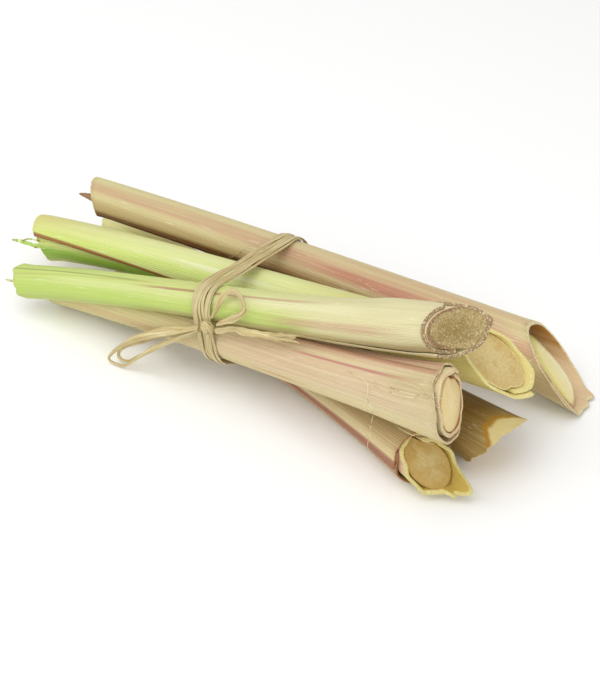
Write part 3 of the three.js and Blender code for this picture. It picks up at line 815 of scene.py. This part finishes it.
rear_line = StalkLine([[-91.9, 18.0, 29.3], [-18.2, 23.0, 25.9], [48.8, 28.1, 19.0], [94.5, 31.7, 11.9]],
                      [7.4, 8.1, 9.9, 12.6], 0, 11)
rear_outer = {"room": 0, "thick": 0.9, "edge": (-28, -22), "turn": -1, "curl": 0.35,
              "top": (1.6, -0.2, 0.35, 0.3, 0.15, ()),
              "base": (-0.5, -0.27, 1.25, 0.4, 0.16, ((264, 6, -1.6), (246, 16, 2.0), (292, 14, -0.8)))}
rear_inner = {"room": 2.4, "thick": 0.6, "edge": (60, 95), "turn": 1, "flare": -0.6, "sag": (0.3, -0.4),
              "top": (5.0, 0.3, 0.2, 1.2, 0.5, ((24, 17, -8.5),)),
              "base": (-1.2, -0.3, 1.2, 0.4, 0.1, ((185, 80, -9.0),))}
rear_outer_skin = leaf_finish(
    "rear_outer_leaf_skin",
    [(0, srgb(216, 208, 152)), (60, srgb(212, 198, 148)), (130, srgb(212, 192, 146)),
     (190, srgb(216, 204, 152))],
    [(0, 0, 46, -10, 210, srgb(184, 156, 108), 0.8, 0.1), (64, 0, 30, -5, 88, srgb(192, 146, 118), 0.8, 0.45),
     (56, 4, 34, 80, 165, srgb(196, 146, 120), 0.75, 0.4),
     (44, 10, 18, 96, 136, srgb(188, 114, 94), 0.65, 0.35),
     (8, 0, 30, 70, 150, srgb(164, 116, 76), 0.75, 0.4),
     (100, 0, 12, 100, 180, srgb(206, 158, 128), 0.6, 0.7),
     (50, 0, 20, 156, 184, srgb(204, 140, 122), 0.75, 0.3),
     # A dark brown band along the lower side, behind the upper stalk: painted shade.
     (-20, 16, 22, -5, 118, srgb(116, 66, 26), 0.95, 0.1)],
    (srgb(186, 136, 68), srgb(220, 192, 152), 150, 210), (srgb(214, 196, 148), srgb(232, 218, 178)),
    (srgb(96, 52, 30), 0.9, 110), 0.4, ribs=84, hatch=0.14)
dress(roll_sheath("rear_outer_leaf", rear_line, rear_outer, 21), rear_outer_skin, "rear_outer_sheath")
rear_inner_skin = leaf_finish(
    "rear_inner_leaf_skin",
    [(0, srgb(150, 112, 80)), (14, srgb(200, 184, 128)), (190, srgb(222, 206, 156))],
    [(-60, 0, 60, 120, 200, srgb(206, 142, 132), 0.5, 0.6)],
    (srgb(202, 128, 108), srgb(214, 176, 136), 0, 300), (srgb(206, 150, 122), srgb(226, 196, 156)),
    (srgb(190, 120, 104), 0.7, 260), 0.5)
dress(roll_sheath("rear_inner_leaf", rear_line, rear_inner, 23), rear_inner_skin, "rear_inner_sheath")
rear_heart_skin = heart_finish(
    "rear_heart_skin", srgb(220, 208, 140), (srgb(232, 222, 168), srgb(226, 212, 148)),
    [(1.0, 0.14, srgb(196, 190, 92), 0.6, None)],
    (srgb(206, 192, 130), srgb(250, 247, 220), 0.1, 900.0), sheen=0.22)
dress(shape_heart("rear_heart", rear_line, rear_inner, (7, 0.1, 0.1, 0.2, 0.1, ()),
                  (-3.4, -0.67, 1.22, 0, 0, ()), sag=(0.5, -0.7), relief=0.0, dome=5.5, seed=25),
      rear_heart_skin, "rear_core")

# The upper stalk behind the green one: light green at its top, turning yellow, with a fleshy yellow lip round
# its tan cut heart. Its leaf margin is a brown line that dives under the green stalk.
upper_line = StalkLine([[-108.4, 2.4, 13.7], [-18.6, 2.4, 26.1], [38.5, 1.5, 30.4], [85.1, 0.5, 34.8]],
                       [9.2, 8.0, 9.2, 10.8], 0.05, 12)
upper_outer = {"room": 0, "thick": 1.0, "lip": 1.3, "edge": (37, -95), "turn": -1, "curl": 0.5,
               "top_curl": 0.7, "top": (5.2, -0.12, 0.42, 0.4, 0.15, ()),
               "base": (-2.2, 0.17, 1.08, 0.5, 0.12, ((225, 30, 1.2),))}
upper_outer_skin = leaf_finish(
    "upper_outer_leaf_skin",
    [(0, srgb(214, 218, 134)), (50, srgb(218, 226, 150)), (110, srgb(220, 226, 156)),
     (150, srgb(214, 206, 128)), (196, srgb(226, 210, 132))],
    [(-4, -34, 34, -5, 80, srgb(140, 184, 48), 0.95, 0.1),
     (44, -20, 22, 0, 90, srgb(200, 222, 104), 0.7, 0.3),
     (98, 0, 26, 20, 100, srgb(228, 228, 170), 0.6, 0.4),
     (-30, 0, 30, 80, 150, srgb(168, 158, 70), 0.6, 0.3), (56, 0, 9, 70, 104, srgb(238, 240, 206), 0.8, 0.6),
     (110, 0, 44, -6, 16, srgb(220, 208, 128), 0.7, 0.2),
     (-46, 0, 9, 182, 196, srgb(160, 100, 44), 0.75, 0.7)],
    (srgb(206, 184, 96), srgb(226, 208, 132), 0, 200), (srgb(222, 208, 134), srgb(232, 222, 160)),
    (srgb(150, 92, 48), 0.95, 150), 0.15, ribs=70)
dress(roll_sheath("upper_outer_leaf", upper_line, upper_outer, 31), upper_outer_skin, "upper_outer_sheath")
upper_heart_skin = heart_finish(
    "upper_heart_skin", srgb(216, 204, 124), (srgb(216, 194, 134), srgb(208, 182, 118)),
    [(0.98, 0.05, srgb(234, 220, 150), 0.8, None)],
    (srgb(186, 152, 90), srgb(236, 222, 176), 0.4, 1500.0), (srgb(196, 158, 84), 0.52, 0.4))
dress(shape_heart("upper_heart", upper_line, upper_outer, (7.0, 0.0, 0.42, 0.2, 0.1, ()),
                  (-3.5, 0.14, 1.2, 0, 0, ()), relief=0.08, seed=33),
      upper_heart_skin, "upper_core")

# The green stalk on top: bright light green at its top and cream at its base, which is cut aslant to show an
# olive-tan fibrous heart inside a purple-brown ring. A strip of its outer leaf is torn off above the cut.
green_line = StalkLine([[-101.5, -20.8, 10.2], [-13.8, -19.0, 33.5], [36.6, -17.9, 45.6],
                        [72.3, -16.2, 55.7]],
                       [7.0, 7.0, 8.0, 9.4], 0.02, 13)
green_outer = {"room": 0, "thick": 0.8, "lip": 1.3, "edge": (250, 320), "turn": 1, "curl": 0.1,
               "top_curl": 0.4, "top": (3.4, 0.1, 0.3, 0.7, 0.2, ((40, 35, 1.4),)),
               "bulges": ((118, 26, 15, 8, 0.8),),
               "base": (0.5, 0.84, 0.34, 0.3, 0.06,
                        ((126, 14, -9.5), (146, 9, -3.0), (192, 17, 2.6), (240, 22, 0.8)))}
green_outer_skin = leaf_finish(
    "green_outer_leaf_skin",
    [(0, srgb(196, 216, 116)), (40, srgb(204, 222, 132)), (88, srgb(208, 216, 132)),
     (110, srgb(212, 218, 146)), (140, srgb(218, 212, 162)), (180, srgb(220, 212, 168))],
    [(48, 0, 16, 20, 100, srgb(216, 224, 154), 0.75, 0.35), (8, 0, 42, 0, 126, srgb(186, 212, 100), 0.8, 0.2),
     (84, -6, 5, -5, 60, srgb(150, 160, 72), 0.8, 0.2), (62, 24, 5, 0, 62, srgb(186, 176, 94), 0.6, 0.5),
     (46, 26, 7, 64, 132, srgb(172, 120, 100), 0.85, 0.15),
     (-2, 14, 18, 118, 162, srgb(196, 154, 126), 0.7, 0.4),
     (66, 0, 24, 104, 150, srgb(234, 230, 190), 0.6, 0.6),
     (-28, 0, 30, 60, 190, srgb(170, 150, 98), 0.6, 0.3), (-24, 0, 22, -5, 70, srgb(176, 196, 96), 0.6, 0.3)],
    (srgb(206, 186, 130), srgb(226, 214, 168), 0, 200), (srgb(152, 126, 90), srgb(204, 188, 146)),
    (srgb(168, 132, 84), 0.6, 260), 0.1, ribs=96, hatch=0.12)
dress(roll_sheath("green_outer_leaf", green_line, green_outer, 41), green_outer_skin, "green_outer_sheath")
green_heart_skin = heart_finish(
    "green_heart_skin", srgb(228, 218, 180), (srgb(156, 132, 72), srgb(182, 160, 106)),
    [(0.95, 0.10, srgb(120, 86, 74), 0.8, (70, 78)), (0.99, 0.05, srgb(170, 116, 40), 0.7, None)],
    (srgb(128, 102, 52), srgb(226, 214, 172), 0.75, 1700.0), (srgb(140, 112, 46), 0.5, 0.5))
dress(shape_heart("green_heart", green_line, green_outer, (5.0, 0.1, 0.3, 0.2, 0.1, ()),
                  (0.9, 0.84, 0.34, 0, 0, ((192, 17, 2.2), (240, 22, 0.6))), relief=0.3, seed=43),
      green_heart_skin, "green_core")

# The front stalk: cream with a pink upper side and one red-pink line, widening to a round end. Its outer leaf
# stands off in a pointed corner, and a thin inner sheath curls round a pale yellow heart that sticks out.
front_line = StalkLine([[-89.3, -12.4, 6.6], [-20.3, -18.4, 18.4], [28.2, -23.0, 26.6], [76.6, -29.8, 37.9]],
                       [6.9, 7.8, 9.5, 12.4], 0.03, 14)
front_outer = {"room": 0, "thick": 0.8, "edge": (120, 84), "turn": 1, "flare": 0.7, "curl": 0.2,
               "top": (0, 0.1, 0, 0.6, 0.25, ()),
               "base": (3.2, -0.41, 0.05, 0.4, 0.16, ((112, 14, -1.2), (62, 16, -1.6), (350, 20, -0.8)))}
front_inner = {"room": 2.0, "thick": 0.65, "lip": 1.45, "edge": (200, 150), "turn": 1, "flare": 0.9,
               "top": (1, 0.1, 0, 0.4, 0.15, ()), "base": (4.2, -0.38, 0.03, 0.4, 0.1, ((115, 22, 1.2),))}
front_outer_skin = leaf_finish(
    "front_outer_leaf_skin",
    [(0, srgb(214, 206, 144)), (60, srgb(216, 202, 148)), (100, srgb(216, 196, 158)),
     (150, srgb(216, 200, 162)), (180, srgb(208, 190, 148))],
    [(112, 0, 30, 84, 176, srgb(190, 134, 118), 0.75, 0.3),
     (58, 0, 4.5, 114, 165, srgb(178, 92, 92), 0.85, 0.3),
     (84, 0, 20, 96, 165, srgb(204, 154, 136), 0.6, 0.6),
     (30, 0, 40, 80, 165, srgb(208, 170, 144), 0.5, 0.8),
     (-20, 0, 24, 70, 180, srgb(218, 204, 148), 0.7, 0.3),
     (-44, 0, 20, 0, 180, srgb(184, 160, 112), 0.5, 0.4), (0, 0, 16, 10, 70, srgb(212, 172, 130), 0.6, 0.4),
     (55, 0, 22, 156, 184, srgb(188, 172, 122), 0.7, 0.4), (-12, 0, 5, 99, 114, srgb(176, 70, 44), 0.6, 0.8)],
    (srgb(206, 178, 134), srgb(226, 206, 166), 0, 200), (srgb(206, 184, 142), srgb(226, 208, 168)),
    (srgb(176, 120, 96), 0.6, 260), 0.25, ribs=34, hatch=0.32)
dress(roll_sheath("front_outer_leaf", front_line, front_outer, 51), front_outer_skin, "front_outer_sheath")
front_inner_skin = leaf_finish(
    "front_inner_leaf_skin",
    [(0, srgb(200, 190, 130)), (120, srgb(222, 210, 160)), (180, srgb(234, 224, 180))],
    [(60, 0, 80, 150, 185, srgb(222, 184, 150), 0.4, 0.5)],
    (srgb(184, 132, 92), srgb(204, 160, 118), 0, 200), (srgb(214, 188, 142), srgb(228, 208, 162)),
    (srgb(150, 92, 66), 0.85, 260), 0.15)
dress(roll_sheath("front_inner_leaf", front_line, front_inner, 53), front_inner_skin, "front_inner_sheath")
front_heart_skin = heart_finish(
    "front_heart_skin", srgb(230, 212, 150), (srgb(234, 212, 154), srgb(226, 202, 140)),
    [(1.0, 0.05, srgb(190, 156, 92), 0.7, None)],
    (srgb(208, 182, 120), srgb(240, 224, 180), 0.3, 900.0), sheen=0.38)
dress(shape_heart("front_heart", front_line, front_inner, (2, 0.1, 0, 0.2, 0.1, ()),
                  (4.0, -0.36, 0.0, 0, 0, ()), relief=0.03, dome=1.4, seed=55),
      front_heart_skin, "front_core")

# The low front stalk: it lies on the table with a cream ribbed upper side and a pinkish-brown lower face.
# Its outer sheath ends short, and the inner one stands past it as a ragged fleshy yellow lip round an ochre
# heart.
low_front_line = StalkLine([[-79.2, 14.5, 5.4], [-9.9, -5.3, 8.9], [33.5, -16.4, 8.0], [76.0, -31.4, 10.2]],
                           [6.0, 6.5, 7.8, 10.7], 0.05, 15)
low_front_outer = {"room": 0, "thick": 0.7, "edge": (20, 0), "turn": -1, "flare": 0.15, "curl": 0.1,
                   "top": (0, 0.1, 0, 0.5, 0.2, ()), "base": (-5.0, 0.2, 0.2, 0.5, 0.2, ((320, 30, -1.2),))}
low_front_inner = {"room": 2.1, "thick": 0.6, "lip": 1.4, "edge": (150, 132), "turn": 1, "flare": 0.9,
                   "curl": 0.8, "top": (1, 0.1, 0, 0.4, 0.15, ()), "bulges": ((256, 40, 0, 8, 1.6),),
                   "base": (-1.3, 0.26, 0.88, 0.5, 0.22, ((228, 24, 7.4), (262, 5, 2.6), (206, 8, -0.8)))}
low_front_outer_skin = leaf_finish(
    "low_front_outer_leaf_skin",
    [(0, srgb(206, 196, 136)), (60, srgb(214, 198, 150)), (110, srgb(216, 200, 154)),
     (170, srgb(210, 190, 142))],
    [(-12, 0, 34, 40, 175, srgb(172, 124, 98), 0.9, 0.2), (18, -4, 7, 70, 175, srgb(146, 78, 66), 0.85, 0.2),
     (56, 0, 34, 80, 170, srgb(180, 150, 100), 0.8, 0.3),
     (-40, 0, 18, 40, 175, srgb(202, 160, 132), 0.6, 0.3)],
    (srgb(176, 132, 74), srgb(206, 176, 120), 0, 200), (srgb(150, 98, 52), srgb(180, 130, 80)),
    (srgb(150, 92, 64), 0.8, 260), 0.3, ribs=80, hatch=0.2)
dress(roll_sheath("low_front_outer_leaf", low_front_line, low_front_outer, 61), low_front_outer_skin,
      "low_front_outer_sheath")
low_front_inner_skin = leaf_finish(
    "low_front_inner_leaf_skin",
    [(0, srgb(206, 198, 130)), (130, srgb(216, 184, 150)), (156, srgb(220, 196, 156)),
     (172, srgb(222, 214, 138))],
    [(20, 0, 50, 140, 166, srgb(214, 168, 148), 0.6, 0.3),
     (-60, 0, 60, 150, 180, srgb(214, 206, 104), 0.7, 0.3)],
    (srgb(196, 168, 78), srgb(214, 200, 104), 200, 270), (srgb(214, 200, 124), srgb(224, 212, 148)),
    (srgb(170, 120, 60), 0.6, 260), 0.15)
dress(roll_sheath("low_front_inner_leaf", low_front_line, low_front_inner, 63), low_front_inner_skin,
      "low_front_inner_sheath")
low_front_heart_skin = heart_finish(
    "low_front_heart_skin", srgb(206, 180, 110), (srgb(204, 180, 118), srgb(190, 158, 84)),
    [(1.0, 0.10, srgb(172, 130, 34), 0.7, None)],
    (srgb(176, 144, 80), srgb(216, 196, 138), 0.3, 900.0), (srgb(184, 146, 58), 0.5, 0.5))
dress(shape_heart("low_front_heart", low_front_line, low_front_inner, (2, 0.1, 0, 0.2, 0.1, ()),
                  (-2.0, 0.2, 0.95, 0, 0, ()), relief=0.12, dome=-0.4, seed=65),
      low_front_heart_skin, "low_front_core")

# The low middle stalk: half hidden behind the front one, olive brown, and darker where painted shade from the
# front stalk lies on it, towards the base and over its upper side. One leaf sheath goes round a tan heart.
# Its base is torn back from below, with an orange band across it just before a pale end.
low_middle_line = StalkLine([[-96.8, 32.1, 5.5], [-18.9, 14.9, 8.9], [38.6, 2.0, 8.9], [87.7, -9.2, 9.8]],
                            [6.1, 6.7, 9.1, 11.3], 0.05, 16)
low_middle_outer = {"room": 0, "thick": 0.8, "edge": (140, 120), "turn": 1, "curl": 0.6,
                    "top": (1, 0.2, 0.1, 0.6, 0.3, ()),
                    "base": (1.2, 0.02, -0.75, 0.4, 0.4, ((60, 5, -1.0), (20, 6, 0.8)))}
low_middle_outer_skin = leaf_finish(
    "low_middle_outer_leaf_skin",
    # Darker towards the base: partly the stalk's olive brown, partly painted shade beside the front stalk.
    [(0, srgb(226, 224, 158)), (50, srgb(206, 190, 128)), (120, srgb(172, 140, 78)),
     (200, srgb(178, 150, 86))],
    # The first band, dark brown over the upper side: painted shade beside the front stalk.
    [(80, 0, 120, 60, 190, srgb(116, 82, 20), 0.9, 0.1), (0, 0, 24, 60, 200, srgb(176, 142, 82), 0.5, 0.5)],
    (srgb(196, 160, 90), srgb(214, 190, 130), 0, 200), (srgb(206, 184, 124), srgb(222, 204, 150)),
    (srgb(120, 100, 50), 0.6, 260), 0.15, ribs=60,
    patch=(78, 48, 8.5, srgb(172, 124, 20), srgb(216, 198, 136)))
dress(roll_sheath("low_middle_outer_leaf", low_middle_line, low_middle_outer, 71), low_middle_outer_skin,
      "low_middle_outer_sheath")
low_middle_heart_skin = heart_finish(
    "low_middle_heart_skin", srgb(206, 186, 120), (srgb(206, 180, 116), srgb(196, 160, 90)),
    [(0.96, 0.06, srgb(160, 120, 60), 0.6, None)],
    (srgb(160, 124, 66), srgb(226, 206, 150), 0.4, 1500.0))
dress(shape_heart("low_middle_heart", low_middle_line, low_middle_outer, (2, 0.1, 0, 0.2, 0.1, ()),
                  (-0.8, 0.02, -0.6, 0, 0, ()), relief=0.12, seed=75),
      low_middle_heart_skin, "low_middle_core")

# The raffia turns: two flat bunches of strands pulled straight round the whole bundle, leaning back over the
# rear stalk. Each bunch is three folded ribbons that lie partly on each other.
TURN_THICK = 0.34 * MM
TURN_CLEARANCE = 1.03
TIE_X = -11.4
TIE_LEAN_Y = 0.070
TIE_LEAN_Z = -0.176
TIE_MID_Z = 19.0
TURN_RIBBONS = {
    "raffia_turn_left": ((-2.9, 0.45, 1.5, 81), (-1.6, 0.95, 1.5, 82), (-0.6, 0.5, 1.3, 85)),
    "raffia_turn_right": ((0.8, 0.45, 1.5, 83), (2.2, 0.9, 1.6, 84), (3.1, 0.45, 1.2, 86)),
}
bundle_lines = (rear_line, upper_line, green_line, front_line, low_front_line, low_middle_line)


def tie_circle(line):
    """Where the tie's leaning plane cuts a stalk: the middle and radius there."""
    t = np.linspace(0, 1, 2001)
    points = line.middle(t)
    off = points[:, 0] - (TIE_X + TIE_LEAN_Y * points[:, 1] + TIE_LEAN_Z * (points[:, 2] - TIE_MID_Z))
    at = int(np.argmin(np.abs(off)))
    return points[at], float(line.radius_at(t[at])[0])


def turn_line(shift, out, count=260):
    """The middle line of a ribbon round the bundle and the way it faces, in metres."""
    circles = [tie_circle(line) for line in bundle_lines]
    angle = np.linspace(0, 2 * np.pi, 4001)
    normal = np.stack([np.cos(angle), np.sin(angle)], axis=1)
    reach = np.stack([normal @ c[1:] + r * TURN_CLEARANCE + out for c, r in circles], axis=1)
    held = reach.argmax(axis=1)
    centre = np.array([c[1:] for c, _ in circles])[held]
    radius = np.array([r * TURN_CLEARANCE + out for _, r in circles])[held]
    yz = centre + normal * radius[:, None]
    x = TIE_X + TIE_LEAN_Y * yz[:, 0] + TIE_LEAN_Z * (yz[:, 1] - TIE_MID_Z) + shift
    whole = np.column_stack([x, yz, normal])
    step = np.linalg.norm(np.diff(whole[:, :3], axis=0), axis=1)
    at = np.concatenate([[0], np.cumsum(step)])
    wanted = np.linspace(0, at[-1], count, endpoint=False)
    table = np.stack([np.interp(wanted, at, whole[:, i]) for i in range(5)], axis=1)
    turned = 2 * np.pi * wanted / at[-1]
    table[:, 0] += 0.35 * np.sin(3 * turned + out * 9) + 0.2 * np.sin(7 * turned + shift)
    facing = np.column_stack([np.zeros(count), table[:, 3:]])
    return table[:, :3] * MM, facing


def joined_piece(name, pieces):
    """One piece made of several."""
    joined = bmesh.new()
    for piece in pieces:
        joined.from_mesh(piece.data)
    joined.to_mesh(pieces[0].data)
    joined.free()
    for piece in pieces[1:]:
        bpy.data.objects.remove(piece)
    pieces[0].name = name
    return pieces[0]


for turn_name, ribbons in TURN_RIBBONS.items():
    turn_pieces = []
    for shift, out, width, seed in ribbons:
        middle_line, facing = turn_line(shift, out)
        turn_pieces.append(ribbon(turn_name + "_strand_" + str(seed), middle_line, facing, width * MM,
                                  TURN_THICK, 0.2, 0.14, seed, closed=True))
    dress(joined_piece(turn_name + "_ribbons", turn_pieces), raffia_material, turn_name)

# The knot: the strands of the bow and of the turns crossing over each other in a small firm lump, held by
# their own tightness in front of the turns.
WRAP_WIDTH = 1.7 * MM
WRAP_THICK = 0.5 * MM
KNOT_MIDDLE = np.array([-12.7, -28.1, 29.9]) * MM
KNOT_HALF = np.array([2.5, 1.7, 2.7]) * MM
KNOT_WRAPS = (
    ((0.0, 1.0, 0.25), (0.1, 0.0, 1.0), 0.75, 91),
    ((0.9, 0.45, 0.1), (-0.15, 0.2, 1.0), 0.9, 92),
    ((0.38, -0.66, 0.64), (1.0, 0.3, 0.0), 0.88, 93),
    ((0.38, -0.66, 0.64), (0.5, 0.3, -0.9), 0.95, 94),
)


def knot_lump():
    """The lump under the wraps."""
    lump = bmesh.new()
    bmesh.ops.create_icosphere(lump, subdivisions=4, radius=1.0)
    for vert in lump.verts:
        d = vert.co.copy()
        fold = 1 + 0.07 * math.sin(7 * d.x + 5 * d.z) + 0.05 * math.sin(9 * d.z - 4 * d.x)
        vert.co = Vector((d.x * KNOT_HALF[0] * 0.8, d.y * KNOT_HALF[1] * 0.85,
                          d.z * KNOT_HALF[2] * 0.8)) * fold
        vert.co += Vector(KNOT_MIDDLE)
    for face in lump.faces:
        face.smooth = True
    mesh = bpy.data.meshes.new("raffia_knot_lump")
    lump.to_mesh(mesh)
    lump.free()
    layer = mesh.attributes.new("strand", "FLOAT_VECTOR", "POINT")
    for i, vert in enumerate(mesh.vertices):
        layer.data[i].vector = (vert.co.x * 90, vert.co.z * 60, 0)
    piece = bpy.data.objects.new("raffia_knot_lump", mesh)
    bpy.context.scene.collection.objects.link(piece)
    return piece


knot_pieces = [knot_lump()]
for first, second, size, seed in KNOT_WRAPS:
    a = np.array(first) / np.linalg.norm(first)
    b = np.array(second) - a * np.dot(a, second)
    b /= np.linalg.norm(b)
    angle = np.linspace(0, 2 * np.pi, 90, endpoint=False)[:, None]
    direction = a * np.cos(angle) + b * np.sin(angle)
    wrap_line = KNOT_MIDDLE + direction * KNOT_HALF * size
    knot_pieces.append(ribbon("knot_wrap_" + str(seed), wrap_line, direction / KNOT_HALF * MM, WRAP_WIDTH,
                              WRAP_THICK, 0.16, 0.15, seed, closed=True))
dress(joined_piece("raffia_knot_strands", knot_pieces), raffia_material, "raffia_knot")

# Loose fibres and torn shreds: hair-thin strings pulled off the sheaths by the knife, and small scraps of
# leaf left hanging at the cut tops. A string is its width and the spots that it runs through, as the stalk's
# line, the millimetres along it, the angle round it and the lift off its surface.
LOOSE_FIBRES = {
    "front_loose_fibres": ("stalk_pink", srgb(226, 214, 168), (
        (0.19, ((front_line, 136, 50, 0.1), (front_line, 143, 44, 0.35), (front_line, 148, 36, 0.6),
                (front_line, 149, 10, 0.7), (front_line, 150, -16, 0.8), (low_front_line, 142, 14, 2.2),
                (low_front_line, 142, -4, 0.3), (low_front_line, 144, -14, 0.2))),
        (0.22, ((front_line, 148, 44, 0.6), (front_line, 158, 40, 1.0), (front_line, 165, 39, 1.0),
                (front_line, 171, 40, 1.1), (front_line, 177, 42, 1.4), (front_line, 182, 46, 0.8))),
        (0.18, ((front_line, 150, 36, 0.7), (front_line, 162, 33, 1.0), (front_line, 170, 35, 1.1),
                (front_line, 176, 36, 1.4))),
        (0.18, ((front_line, 156, 54, 0.7), (front_line, 168, 50, 1.0), (front_line, 175, 40, 1.3),
                (front_line, 179, 30, 1.6))),
        (0.18, ((front_line, 158, -34, 0.6), (front_line, 165, -44, 1.1), (front_line, 170, -50, 1.6),
                (front_line, 173, -40, 1.0))),
    )),
    "rear_loose_fibres": ("stalk_pink", srgb(232, 220, 172), (
        (0.15, ((rear_line, 67, 34, 0.1), (rear_line, 65, 16, 0.25), (rear_line, 63, 2, 0.3),
                (rear_line, 61, -10, 0.1))),
        (0.18, ((rear_line, 174, 24, 0.1), (rear_line, 177, 34, 1.0), (rear_line, 180, 52, 1.6),
                (rear_line, 180, 66, 1.9))),
        (0.12, ((rear_line, 110, 60, 0.1), (rear_line, 116, 50, 0.2), (rear_line, 119, 36, 0.25),
                (rear_line, 118, 26, 0.1))),
    )),
    "upper_torn_shred": ("stalk_green", srgb(170, 204, 92), (
        (1.6, ((upper_line, 9.0, 8, -1.0), (upper_line, 5.2, 10, -0.8), (upper_line, 1.0, 16, -0.3),
               (upper_line, -3.0, 20, 0.0), (upper_line, -6.6, 20, -0.3))),
        (0.6, ((upper_line, 8.6, 24, -1.0), (upper_line, 4.6, 26, -0.8), (upper_line, 1.4, 27, -0.5),
               (upper_line, -1.6, 22, 0.1))),
    )),
    "green_torn_shred": ("stalk_green", srgb(206, 200, 160), (
        (1.0, ((green_line, 5.6, 34, -0.8), (green_line, 2.6, 36, -0.6), (green_line, -0.9, 40, -0.4))),
    )),
}


def fibre_finish(name, tone):
    """Thin dry leaf: its tone with paler and browner patches."""
    material, tree = new_material(name)
    patches = object_noise(tree, 420.0, 3.0)
    colour = blend(tree, fade(tree, patches, 0.35, 0.5), DRIED_TONE, tone)
    colour = blend(tree, fade(tree, patches, 0.55, 0.75), colour, PAINTED_GLINT_AND_PALE_TONE)
    finished_material(name, colour, 0.5, patches, 0.05 * MM)
    return material


for fibre_name, (slot_name, tone, strings) in LOOSE_FIBRES.items():
    fibre_pieces = []
    for number, (width, spots) in enumerate(strings):
        path_points = []
        for line, along, degrees, lift in spots:
            radius = line.radius_at(along / line.length) + lift
            path_points.append(line.place(np.array([float(along)]), np.array([float(degrees)]), radius)[0])
        fibre_line = smooth_line(path_points, 40)
        fibre_pieces.append(ribbon(fibre_name + "_" + str(number), fibre_line, towards_camera, width * MM,
                                   min(width, 0.3) * 0.8 * MM, 0.1, 0.3, 300 + number,
                                   taper=((0, 0.5), (0.3, 1), (0.8, 0.9), (1, 0.25))))
    dress(joined_piece(fibre_name, fibre_pieces), fibre_finish(fibre_name + "_skin", tone), None)
